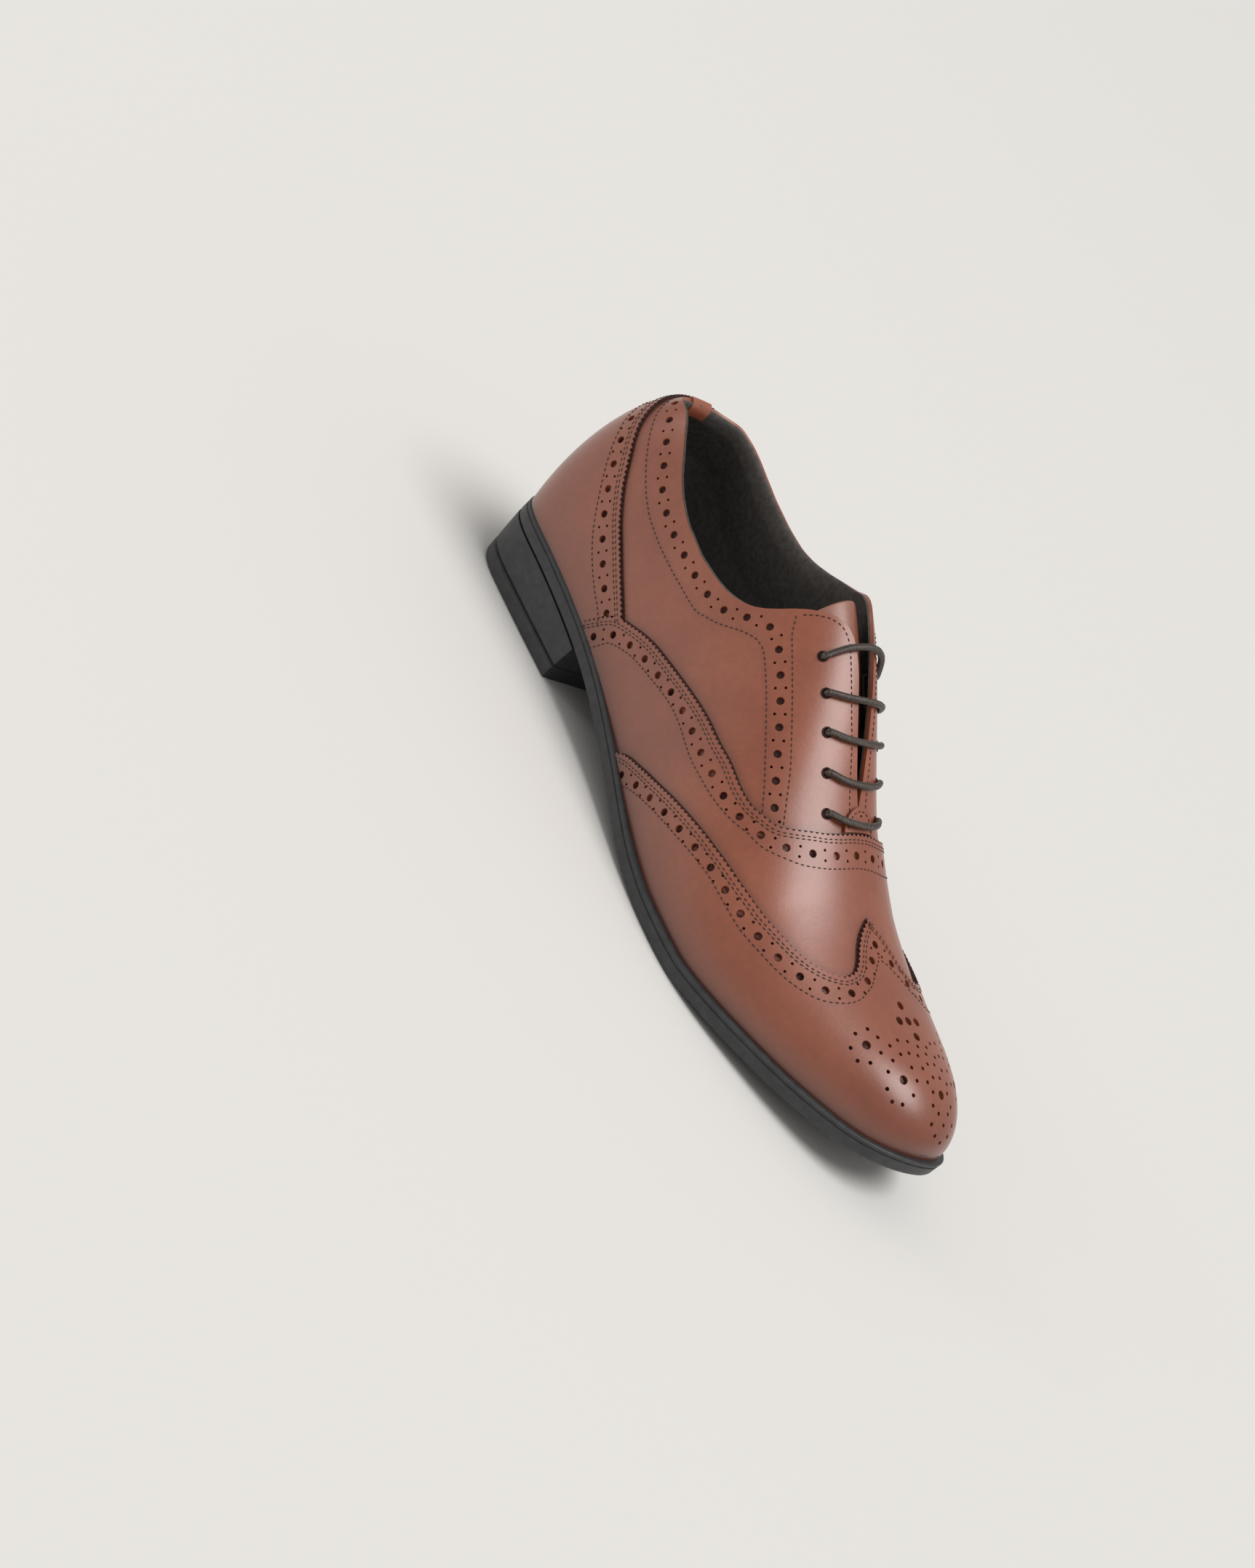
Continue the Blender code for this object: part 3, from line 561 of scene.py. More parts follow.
# %% Leather, rubber, lining and thread
CALF_MID = (0.285, 0.069, 0.029)
CALF_LIGHT = (0.360, 0.097, 0.045)
# the darkest tone of the leather, where wax and painted shade are strongest
CALF_WAXED_AND_SHADED = (0.115, 0.028, 0.013)
CLOUD_SCALE = 28.0
PULL_SCALE = 60.0
FINE_SCALE = 420.0
GRAIN_SCALE = 900.0


def calf_leather(name, light=CALF_LIGHT, mid=CALF_MID):
    """Brown calf: mottled dye, darker where the stored wax and painted shade are high, with a fine grain."""
    made, tree, shader = new_material(name)
    cloud = noise(tree, CLOUD_SCALE, detail=4.0)
    dye = ramp(tree, cloud, [(0.35, mid), (0.65, light)])
    fine = ramp(tree, noise(tree, FINE_SCALE, detail=2.0), [(0.3, (0.93,) * 3), (0.7, (1.05,) * 3)])
    dye = mixed(tree, 1.0, dye, fine, "MULTIPLY")
    patchy = calculated(tree, "MULTIPLY", attribute(tree, "wax_and_shade"), calculated(tree, "ADD", cloud, 0.5))
    colour = mixed(tree, patchy, dye, CALF_WAXED_AND_SHADED)
    tree.links.new(colour, shader.inputs["Base Color"])
    gloss = {"Roughness": 0.38, "Specular IOR Level": 0.75, "Coat Weight": 0.50, "Coat Roughness": 0.32}
    set_inputs(shader, gloss)
    grain = noise(tree, GRAIN_SCALE, roughness=0.6)
    pull = bumped(tree, shader, noise(tree, PULL_SCALE, detail=2.0), 0.12, 0.0015)
    bumped(tree, shader, grain, 0.22, 0.0002, pull)
    return made


def plain_matte(name, dark, light, roughness, scale, depth):
    """A dull material with two close tones and a fine bump, for rubber and for linings."""
    made, tree, shader = new_material(name)
    tones = ramp(tree, noise(tree, scale), [(0.35, dark), (0.65, light)])
    tree.links.new(tones, shader.inputs["Base Color"])
    set_inputs(shader, {"Roughness": roughness})
    bumped(tree, shader, noise(tree, scale * 2, detail=4.0), 0.35, depth)
    return made


LEATHER = calf_leather("upper_calf")
TONGUE_LEATHER = calf_leather("tongue_calf", light=(0.36, 0.125, 0.072), mid=(0.29, 0.096, 0.053))
RUBBER = plain_matte("sole_rubber", (0.030, 0.031, 0.033), (0.044, 0.045, 0.048), 0.52, 300.0, 0.00012)
LINING = plain_matte("padded_lining", (0.085, 0.075, 0.069), (0.130, 0.116, 0.107), 0.72, 500.0, 0.0002)
SOCK = plain_matte("sock_lining", (0.013, 0.011, 0.011), (0.022, 0.019, 0.018), 0.80, 400.0, 0.0002)
THREAD = plain_matte("brown_thread", (0.040, 0.014, 0.009), (0.075, 0.026, 0.016), 0.60, 900.0, 0.0001)
# near black: the colour of cut edges and eyelet rims, partly painted shade there, and painted shade at the
# bottoms of the holes and between the teeth
CUT_EDGE_AND_SHADE = plain_matte("cut_edge_and_shade", (0.040, 0.011, 0.008), (0.066, 0.019, 0.013), 0.75, 700.0, 0.0001)
print("Materials:", len(bpy.data.materials))

# %% [markdown]
# ## Turning grids into leather
#
# `create_grid` gives a flat sheet with its faces in order. We read where each vertex lies in it, ask the
# last where that place is on the shoe, and move the vertex there. A Solidify modifier then gives the sheet
# its thickness inwards, and where holes are punched a Boolean takes them out. The modifiers are applied at
# once, so that the piece which is left is a plain mesh, and its darkening of wax and painted shade is worked
# out from its real points.

# %% Helpers that make pieces
MERGE = 0.00002
# painted shade in the last millimetre of the upper above the sole, where the two meet
WELT_SHADE = 0.6
WELT_SHADE_REACH = 0.0012
TOE_WAX = 0.22
TOE_WAX_FROM = 0.80
MOST_WAX_AND_SHADE = 0.95
SEAM_STEP = 0.0012
SEAM_BATCH = 40
# how far the darkening reaches from a seam, and how much of it there is: wax at an overlay's own edge and
# along stitch rows, painted shade on the piece under an overlay's edge
EDGE_WAX = (0.0012, 0.45)
SEAM_SHADE = (0.0022, 0.45)
CAP_SEAM_SHADE = (0.0025, 0.45)
ROW_WAX = (0.0012, 0.12)
ROD_SIDES = 14
SMALL_ROD_SIDES = 8
SMALL_ROD = 0.001


def sheet_mesh(columns, rows, place):
    """A grid whose points lie where place(across, up) says, for arrays from 0 to 1."""
    bm = bmesh.new()
    made = bmesh.ops.create_grid(bm, x_segments=columns, y_segments=rows, size=0.5)["verts"]
    flat = np.array([vert.co for vert in made]) + 0.5
    for vert, point in zip(made, place(flat[:, 0], flat[:, 1])):
        vert.co = point
    bmesh.ops.remove_doubles(bm, verts=bm.verts[:], dist=MERGE)
    return bm


def halves_mesh(columns, rows, place):
    """A grid for each side of the shoe, merged where they meet; place takes the side, -1 outer, as well."""
    bm = bmesh.new()
    for side in (-1, 1):
        half = sheet_mesh(columns, rows, lambda across, up, side=side: place(across, up, side))
        data = bpy.data.meshes.new("half")
        half.to_mesh(data)
        half.free()
        bm.from_mesh(data)
        bpy.data.meshes.remove(data)
    bmesh.ops.remove_doubles(bm, verts=bm.verts[:], dist=MERGE)
    return bm


def strip_mesh(rows, turned_over):
    """A grid through rows of points; taken from last to first, its faces turn over."""
    rows = np.array(rows[::-1] if turned_over else rows)
    last_row, last_column = len(rows) - 1, len(rows[0]) - 1

    def place(across, up):
        return rows[np.rint(up * last_row).astype(int), np.rint(across * last_column).astype(int)]

    return sheet_mesh(last_column, last_row, place)


def piece_from(bm, name, material=None):
    data = bpy.data.meshes.new(name)
    bm.to_mesh(data)
    bm.free()
    if material:
        data.materials.append(material)
    return linked(name, data)


def thickened(piece, thickness, punch=None):
    """Gives a sheet its thickness inwards, takes the punch's holes out, and leaves one plain mesh."""
    solid = piece.modifiers.new("thickness", "SOLIDIFY")
    solid.thickness = thickness
    solid.offset = -1.0
    solid.material_offset_rim = len(piece.data.materials) - 1
    if punch:
        holes = piece.modifiers.new("holes", "BOOLEAN")
        holes.operation = "DIFFERENCE"
        holes.solver = "MANIFOLD"
        holes.object = punch
    bpy.context.view_layer.update()
    graph = bpy.context.evaluated_depsgraph_get()
    final = bpy.data.meshes.new_from_object(piece.evaluated_get(graph))
    piece.modifiers.clear()
    piece.data = final
    if punch:
        bpy.data.objects.remove(punch)
    return piece


def dressed(piece, slot, *nodes, angle=40.0):
    """Shades a finished piece, lets it ride on the shoe and hides the CAD nodes it stands for."""
    piece.data.shade_smooth()
    piece.data.set_sharp_from_angle(angle=math.radians(angle))
    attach(piece, "root")
    if nodes:
        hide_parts(*nodes)
    print(piece.name, len(piece.data.polygons), "faces")
    return piece


def waxed_and_shaded(piece, seams=(), floor_reach=0.010, strength=0.75):
    """Stores how dark each point is, from wax and painted shade: by the sole, at the toe and along seams."""
    data = piece.data
    points = np.empty(len(data.vertices) * 3)
    data.vertices.foreach_get("co", points)
    points = points.reshape(-1, 3)
    height = np.maximum(points[:, 2] - feather_height(points[:, 0] - SHIFT[0]), 0)
    # darker towards the sole: wax and painted shade
    wax_and_shade = strength * np.exp(-height / floor_reach)
    # painted shade where the upper meets the sole
    wax_and_shade += WELT_SHADE * np.sign(strength) * np.exp(-height / WELT_SHADE_REACH)
    along = (points[:, 0] - SHIFT[0]) / LAST_LENGTH
    wax_and_shade += TOE_WAX * np.clip((along - TOE_WAX_FROM) / (1 - TOE_WAX_FROM), 0, 1) ** 2
    # along seams: wax at an overlay's own edge and its rows, painted shade under an overlay's edge
    for path, reach, amount in seams:
        line = last_at(*resampled(path, SEAM_STEP)[0])
        nearest = np.full(len(points), 1.0)
        for start in range(0, len(line), SEAM_BATCH):
            batch = line[None, start : start + SEAM_BATCH]
            gaps = np.linalg.norm(points[:, None] - batch, axis=2).min(axis=1)
            nearest = np.minimum(nearest, gaps)
        wax_and_shade += amount * np.exp(-((nearest / reach) ** 2))
    layer = data.attributes.new("wax_and_shade", "FLOAT", "POINT")
    layer.data.foreach_set("value", np.clip(wax_and_shade, 0, MOST_WAX_AND_SHADE).astype(np.float32))
    return piece


def facing_out(s, g, level):
    """The move that brings something from the origin to a place on the leather, with its Z straight out."""
    middle, out = skin(s, g, level)
    turn = Vector((0, 0, 1)).rotation_difference(Vector(out)).to_matrix().to_4x4()
    return Matrix.Translation(middle) @ turn


def make_punch(name, spots):
    """A cutter with one short rod for each spot: station, place, level, radius and depth."""
    bm = bmesh.new()
    for s, g, level, radius, depth in spots:
        sides = ROD_SIDES if radius > SMALL_ROD else SMALL_ROD_SIDES
        rod = bmesh.ops.create_cone(bm, cap_ends=True, segments=sides, radius1=radius, radius2=radius,
                                    depth=2 * depth)["verts"]
        bmesh.ops.transform(bm, matrix=facing_out(s, g, level), verts=rod)
    return piece_from(bm, name)


print("Helpers for pieces are ready.")

# %% [markdown]
# ## Punched rows
#
# Along each edge of a brogue runs a band of holes, made with a punch that alternates one large hole with a
# pair of small ones set across the band. We walk along the middle of the band in even steps and put a large
# hole on every even step and a pair on every odd one. The list of spots serves twice: the Boolean takes the
# holes out of the leather, and small dark discs at their bottoms are painted shade on the backing that
# shows through them.

# %% Where the holes go
LARGE_HOLE = 0.00145
SMALL_HOLE = 0.00055
HOLE_PITCH = 0.0094
PAIR_REACH = 0.0018
HOLE_DEPTH = 0.0012
FIRST_ROW = 0.0016
SECOND_ROW = 0.0027
LAYER_STEP = 0.0014
BACKING_WIDER = 1.15
COUNTER_HOLES_FROM = 0.02


def hole_spots(middle, level):
    """Spots for make_punch along the middle of a band."""
    (s, g), _ = resampled(middle, HOLE_PITCH / 2, HOLE_PITCH / 2)
    pairs = [set_off((s, g), reach) for reach in (PAIR_REACH, -PAIR_REACH)]
    spots = []
    for i in range(len(s)):
        if i % 2 == 0:
            spots.append((s[i], g[i], level, LARGE_HOLE, HOLE_DEPTH))
        else:
            spots += [(pair[0][i], pair[1][i], level, SMALL_HOLE, HOLE_DEPTH) for pair in pairs]
    return spots


def band_width(edge, row):
    """How wide a band is at each point of its edge: the distance to the row that closes it."""
    points, line = last_at(*edge), last_at(*row)
    gaps = np.array([np.linalg.norm(line - point, axis=1).min() for point in points])
    reach = 20
    kernel = np.ones(2 * reach + 1) / (2 * reach + 1)
    return np.convolve(np.pad(gaps, reach, mode="edge"), kernel, mode="valid")


def band_middle(width):
    """Halfway between the double row of stitches and the row that closes the band."""
    return SECOND_ROW / 2 + width / 2


def make_hole_shade(name, spots, level):
    """Dark discs of painted shade at the bottoms of the holes, on the backing that shows through them."""
    bm = bmesh.new()
    for s, g, _, radius, _ in spots:
        disc = bmesh.ops.create_circle(bm, cap_ends=True, segments=8, radius=radius * BACKING_WIDER)["verts"]
        bmesh.ops.transform(bm, matrix=facing_out(s, g, level), verts=disc)
    return dressed(piece_from(bm, name, CUT_EDGE_AND_SHADE), "overlay_leather")


vamp_width = band_width(vamp_edge, both_sides(from_rows(VAMP_ROW)))
cap_width = band_width(cap_edge, both_sides(from_rows(CAP_ROW)))
counter_width = band_width(counter_edge, from_rows(COUNTER_ROW))
vamp_middle = own_side(set_off(vamp_edge, -band_middle(vamp_width)), vamp_edge)
cap_middle = own_side(set_off(cap_edge, -band_middle(cap_width)), cap_edge)
counter_middle = set_off(counter_edge, band_middle(counter_width))
counter_middle = tuple(line[counter_middle[0] > COUNTER_HOLES_FROM] for line in counter_middle)
print("Bands are", (vamp_width.mean() * 1000).round(1), "and", (cap_width.mean() * 1000).round(1), "mm wide.")

# %% [markdown]
# ## The upper's quarters
#
# The quarters are the back of the shoe, from the heel to the facings. On each side one grid runs from the
# feather line up to the top line, and both meet behind the heel and over the toe, where the grid's doubles
# merge. A punch takes out the holes of the collar band and the eyelets.

# %% The eyelets' places
EYELET_RADIUS = 0.0018
EYELET_DEPTH = 0.004
EYELET_TOP_REACH = 0.0165
EYELET_LOW_REACH = 0.0140
FIRST_EYELET = 0.474
LAST_EYELET = 0.632
BARS = 5
REACH_DOWN_TO = 0.3
REACH_STEPS = 141


def place_at_reach(s, side, reach):
    """The place round the section that lies reach metres from the crest on one side."""
    shares = np.linspace(1.0, REACH_DOWN_TO, REACH_STEPS)
    places = shares if side < 0 else 2 - shares
    y = plain_last(np.full_like(shares, s), places)[:, 1]
    return float(np.interp(reach, side * (y - BALL_WIDTH * float(COLUMN["crown"](s))), places))


def eyelet(bar, side):
    """Station and place of one eyelet; bar 0 is the top one, side -1 the outer."""
    share = bar / (BARS - 1)
    s = float(station(FIRST_EYELET + (LAST_EYELET - FIRST_EYELET) * share))
    return s, place_at_reach(s, side, EYELET_TOP_REACH + (EYELET_LOW_REACH - EYELET_TOP_REACH) * share)


EYELETS = [eyelet(bar, side) for bar in range(BARS) for side in (-1, 1)]
print("Eyelets are", round(arc_lengths(last_at(*zip(*EYELETS[::2])))[1] * 1000, 1), "mm apart.")

# %% [markdown]
# The collar's band is written for the outer side. The inner top line runs higher behind the ankle, so there
# the inner band rises with it. Painted shade goes where the overlays' edges will lie.

# %% Cut the quarters
QUARTER_GRID = (170, 54)
QUARTER_THICKNESS = 0.0013
QUARTER_BACKING_LIFT = 0.0002
COLLAR_END = 0.44
COLLAR_FADE = 0.06


def quarter_holes(outer_rows):
    """A row of the collar band on both sides; the inner one follows the inner top line."""
    s, g = from_rows(outer_rows)
    drop = (TOP_INNER(s) - TOP_OUTER(s)) * np.clip((COLLAR_END - share_along(s)) / COLLAR_FADE, 0, 1)
    return (s, g), (s, 2 - (g + drop))


def top_line(s, side):
    return TOP_OUTER(s) if side < 0 else TOP_INNER(s)


def make_quarters():
    holes = [spot for band in quarter_holes(QUARTER_HOLES) for spot in hole_spots(band, 0.0)]
    eyes = [(s, g, 0.0, EYELET_RADIUS, EYELET_DEPTH) for s, g in EYELETS]

    def place(across, up, side):
        g = up if side < 0 else 1 - up
        g = g * top_line(across, side)
        return skin(across, g if side < 0 else 2 - g)[0]

    piece = piece_from(halves_mesh(*QUARTER_GRID, place), "quarters", LEATHER)
    thickened(piece, QUARTER_THICKNESS, make_punch("quarter_punch", holes + eyes))
    # painted shade under the edges of vamp and counter, and a little wax along the collar's row
    rows = [(edge, *SEAM_SHADE) for edge in (vamp_edge, counter_edge, mirrored(counter_edge))]
    rows.append((from_rows(QUARTER_ROW), *ROW_WAX))
    waxed_and_shaded(piece, rows, floor_reach=0.006, strength=0.6)
    dressed(piece, "upper_leather", "upper")
    make_hole_shade("quarter_backing", holes, QUARTER_BACKING_LIFT - QUARTER_THICKNESS)


make_quarters()

# %% [markdown]
# ## The medallion
#
# On the toe sits the medallion, a figure of large and small holes. It mirrors about the crest, so the table
# gives one half, in millimetres across from the crest and ahead of the figure's centre. Three factors
# stretch it: its width, its length, and how far its sides sweep forward. Each spot is then walked out over
# the leather, first along the crest and then down the section, so the figure keeps its shape on the round
# toe.

# %% The medallion's holes
MEDALLION_ALONG = 0.870
MEDALLION_WIDER = 1.25
MEDALLION_LONGER = 1.27
MEDALLION_SWEEP = 0.30
MEDALLION_LARGE_HOLE = 0.00160
MEDALLION_SMALL_HOLE = 0.00074
CREST_FROM = 0.78
CREST_TO = 0.995
CREST_STEPS = 400
LOWEST_PLACE = 0.1
SECTION_STEPS = 200
MEDALLION_LARGE = [(0, -4.7), (3.8, -0.9), (0, 0), (0, 4.7), (18.3, 0.8), (12.2, 13.0), (0, 20.5)]
MEDALLION_SMALL = [
    (16.0, -2.6), (19.8, -3.2), (22.4, -0.9), (22.0, 2.7), (19.2, 5.0), (14.3, 0.6), (15.5, 4.4),
    (12.0, 4.0), (8.6, 3.6), (5.2, 5.0), (2.0, 7.2),
    (13.2, 7.6), (10.0, 7.2), (7.0, 7.9), (4.0, 9.4), (0, 9.8),
    (15.6, 9.3), (17.0, 12.5), (16.2, 15.7), (13.6, 17.8), (10.3, 17.4), (8.2, 14.8), (8.4, 11.4),
    (4.5, 12.8), (1.6, 12.3), (4.6, 16.3), (1.6, 15.8),
    (3.4, 19.0), (4.2, 22.0), (2.2, 24.4), (4.8, 26.0), (0, 27.6), (2.9, 29.2), (0, 31.6),
]


def medallion_place(across, ahead):
    """Station and place of a spot given in metres across and ahead."""
    stations = np.linspace(float(station(CREST_FROM)), CREST_TO, CREST_STEPS)
    arc = arc_lengths(last_at(stations, 1.0))
    start = np.interp(float(station(MEDALLION_ALONG)), stations, arc)
    s = float(np.interp(start + ahead, arc, stations))
    places = np.linspace(1.0, LOWEST_PLACE if across <= 0 else 2 - LOWEST_PLACE, SECTION_STEPS)
    return s, float(np.interp(abs(across), arc_lengths(last_at(s, places)), places))


def medallion_spots(level):
    spots = []
    for table, radius in ((MEDALLION_LARGE, MEDALLION_LARGE_HOLE), (MEDALLION_SMALL, MEDALLION_SMALL_HOLE)):
        for across, ahead in table:
            ahead = MEDALLION_LONGER * ahead + MEDALLION_SWEEP * across
            for side in (-1, 1) if across else (1,):
                s, g = medallion_place(side * MEDALLION_WIDER * across / 1000, ahead / 1000)
                spots.append((s, g, level, radius, HOLE_DEPTH))
    return spots


print("The medallion has", len(medallion_spots(0.0)), "holes.")

# %% [markdown]
# ## The overlays
#
# Vamp, wing cap and counter lie on the quarters, each a layer of leather further out. Every overlay is a
# grid from its edge to the toe, or to the back of the heel, a little short of the gimped line. The gimped
# edge itself is a narrow ribbon of its own: it needs a point every half millimetre, which would be a waste
# all over the piece. The saw edge is a triangle wave in the ribbon's outermost row.

# %% Cut the overlays
OVERLAY_GRID = (110, 130)
OVERLAY_THICKNESS = 0.0013
EDGE_SETBACK = 0.0010
BACKING_LIFT = 0.0001
GIMP_PITCH = 0.0021
GIMP_DEPTH = 0.0011
RIBBON_OUT = 0.0006
RIBBON_IN = 0.0026
RIBBON_SHARES = (0.0, 0.35, 0.7, 1.0)
RIBBON_LIFT = 0.00003
# a strip of painted shadow under each saw edge, filling the gaps between its teeth
NOTCH_SHADOW_REACHES = (-0.00066, 0.0009)
NOTCH_SHADOW_LIFT = 0.00022
NOTCH_SHADOW_THICKNESS = 0.00015


def edge_station(edge, g):
    """The station of an edge at a place round the shoe."""
    order = np.argsort(edge[1])
    return np.interp(g, edge[1][order], edge[0][order])


def held_back(path, original):
    """Stops a moved path where it would cross the crest or the middle of the heel's back."""
    s, g = path
    return np.where(s * original[0] < 0, 0.0, s), np.where((g - 1) * (original[1] - 1) < 0, 1.0, g)


def make_overlay(name, edge, middle, level, node, seams, figure=()):
    inner_edge = set_off(edge, -EDGE_SETBACK)

    def place(across, up):
        g = 2 * up
        first = edge_station(inner_edge, g)
        return skin(first + (1 - first) * across, g, level)[0]

    piece = piece_from(sheet_mesh(*OVERLAY_GRID, place), name, LEATHER)
    spots = hole_spots(middle, level) + list(figure)
    thickened(piece, OVERLAY_THICKNESS, make_punch(name + "_punch", spots))
    waxed_and_shaded(piece, seams)
    dressed(piece, "overlay_leather", node)
    make_hole_shade(name + "_backing", spots, level - OVERLAY_THICKNESS + BACKING_LIFT)


def make_gimped_ribbon(name, edge, level, inward):
    """A narrow strip along an edge, cut like a saw; inward is the sign that leads into the leather."""
    count = int(rough_length(edge) / (GIMP_PITCH / 4)) + 1
    fine, marks = resampled(edge, GIMP_PITCH, count=count)
    wave = np.abs((marks / GIMP_PITCH) % 1.0 - 0.5) * 2
    rows = []
    for share in RIBBON_SHARES:
        distance = (wave * GIMP_DEPTH - RIBBON_OUT) * (1 - share) + RIBBON_IN * share
        rows.append(skin(*held_back(set_off(fine, inward * distance), fine), level + RIBBON_LIFT)[0])
    piece = piece_from(strip_mesh(rows, inward < 0), name, LEATHER)
    piece.data.materials.append(CUT_EDGE_AND_SHADE)
    thickened(piece, OVERLAY_THICKNESS)
    waxed_and_shaded(piece, [(edge, *EDGE_WAX)])
    dressed(piece, "overlay_leather")
    # painted shadow in the gaps between the teeth
    make_notch_shadow(name + "_line", fine, level - LAYER_STEP, inward)


def make_notch_shadow(name, fine, level, inward):
    """A dark strip of painted shadow that lies under a saw edge and fills the gaps between its teeth."""
    sides = [held_back(set_off(fine, inward * reach), fine) for reach in NOTCH_SHADOW_REACHES]
    rows = [skin(s, g, level + NOTCH_SHADOW_LIFT)[0] for s, g in sides]
    piece = piece_from(strip_mesh(rows, inward < 0), name, CUT_EDGE_AND_SHADE)
    thickened(piece, NOTCH_SHADOW_THICKNESS)
    dressed(piece, "overlay_leather")


# painted shade on the vamp under the cap's edge, and a little wax along the band's closing row
vamp_seams = [(cap_edge, *CAP_SEAM_SHADE), (set_off(vamp_edge, -vamp_width), *ROW_WAX)]
cap_seams = [(own_side(set_off(cap_edge, -cap_width), cap_edge), *ROW_WAX)]
make_overlay("vamp_overlay", vamp_edge, vamp_middle, LAYER_STEP, "vamp", vamp_seams)
make_overlay("cap_overlay", cap_edge, cap_middle, 2 * LAYER_STEP, "wing_cap", cap_seams,
             medallion_spots(2 * LAYER_STEP))
make_gimped_ribbon("vamp_gimping", vamp_edge, LAYER_STEP, -1)
make_gimped_ribbon("cap_gimping", cap_edge, 2 * LAYER_STEP, -1)

# %% [markdown]
# The counter wraps the heel, so its grid has no end at the back: its stations run from minus to plus, and a
# negative station is the inner side. Its foot follows the vamp's edge.

# %% The counter
COUNTER_GRID = (110, 50)
COUNTER_FOOT = 0.10
COUNTER_CLEAR = 0.002


def make_counter():
    """Both sides of the heel in one grid, which goes round the back through station zero."""
    inner_edge = set_off(counter_edge, EDGE_SETBACK)
    inner_edge = tuple(line[inner_edge[0] >= 0] for line in inner_edge)
    up_order = np.argsort(inner_edge[1])
    highest = inner_edge[1].max()

    def place(across, up):
        turn = 2 * across - 1
        t = up * highest
        reach = np.interp(t, inner_edge[1][up_order], inner_edge[0][up_order])
        low = np.clip((COUNTER_FOOT - t) / COUNTER_FOOT, 0, 1)
        foot = edge_station(vamp_edge, t) - COUNTER_CLEAR * (1 - low)
        return skin(turn * np.where(t < COUNTER_FOOT, foot, reach), t, LAYER_STEP)[0]

    piece = piece_from(sheet_mesh(*COUNTER_GRID, place), "counter_overlay", LEATHER)
    inner_middle = (-counter_middle[0], counter_middle[1])
    spots = hole_spots(counter_middle, LAYER_STEP) + hole_spots(inner_middle, LAYER_STEP)
    thickened(piece, OVERLAY_THICKNESS, make_punch("counter_punch", spots))
    waxed_and_shaded(piece, floor_reach=0.014, strength=0.5)
    dressed(piece, "overlay_leather", "heel_counter")
    make_hole_shade("counter_backing", spots, LAYER_STEP - OVERLAY_THICKNESS + BACKING_LIFT)
    other_edge = (-counter_edge[0][::-1], counter_edge[1][::-1])
    make_gimped_ribbon("counter_gimping_outer", counter_edge, LAYER_STEP, 1)
    make_gimped_ribbon("counter_gimping_inner", other_edge, LAYER_STEP, 1)


make_counter()

# %% [markdown]
# ## The sole
#
# The outsole is one closed loft: at each station a section with rounded corners, a fine groove under its
# top corner where the welt ends, and a flat tread. The heel is two more lofts with a groove between them.

# %% Outsole and heel
SOLE_COLUMNS = 170
HEEL_COLUMNS = 70
MARGIN_FROM = 0.25
MARGIN_OVER = 0.35
BREAST = 0.262
TOP_LIFT = 0.0065
HEEL_TAPER = 0.0016
BREAST_RAKE = 0.0020
RAKE_FADE = 8
GAP = 0.0003


def margin_at(s):
    """How far the sole stands out past the feather line."""
    forward = np.clip((share_along(s) - MARGIN_FROM) / MARGIN_OVER, 0, 1)
    return WELT_HEEL + (WELT_TOE - WELT_HEEL) * forward * forward * (3 - 2 * forward)


def outline_at(s, side, out):
    """Points of the feather line moved out level by a distance, for arrays of stations."""
    step = 1e-4
    g = np.where(side < 0, 0.0, 2.0)
    here = last_at(s, g)
    ahead = last_at(np.minimum(s + step, 1.0), g) - last_at(np.maximum(s - step, 0.0), g)
    length = np.hypot(ahead[..., 0], ahead[..., 1])
    x = here[..., 0] - side * ahead[..., 1] / length * out
    y = here[..., 1] + side * ahead[..., 0] / length * out
    return x, y


def straight(s, x, y, z):
    return np.stack([x, y, z], axis=-1)


def loft(name, material, first, last, columns, profile, height, bend=None):
    """A closed loft along the sole. Each row of the profile is a side, an inset and a share up or down."""
    around = profile + [profile[0]]

    def place(across, up):
        s = first + (last - first) * across
        rows = np.array(around)[np.rint(up * (len(around) - 1)).astype(int)]
        side, inset, level = rows[:, 0], rows[:, 1], rows[:, 2]
        x, y = outline_at(s, side, margin_at(s) - inset)
        return (bend or straight)(s, x, y, height(x, level))

    bm = sheet_mesh(columns, len(around) - 1, place)
    bmesh.ops.dissolve_degenerate(bm, edges=bm.edges[:], dist=MERGE)
    open_edges = [edge for edge in bm.edges if edge.is_boundary]
    if open_edges:
        bmesh.ops.holes_fill(bm, edges=open_edges, sides=0)
    bmesh.ops.recalc_face_normals(bm, faces=bm.faces[:])
    return piece_from(bm, name, material)


def two_sided(rows):
    """A profile written for one side, from the top's middle to the bottom's, carried round the other."""
    return [(1, inset, level) for inset, level in rows] + [(-1, inset, level) for inset, level in rows[::-1]]


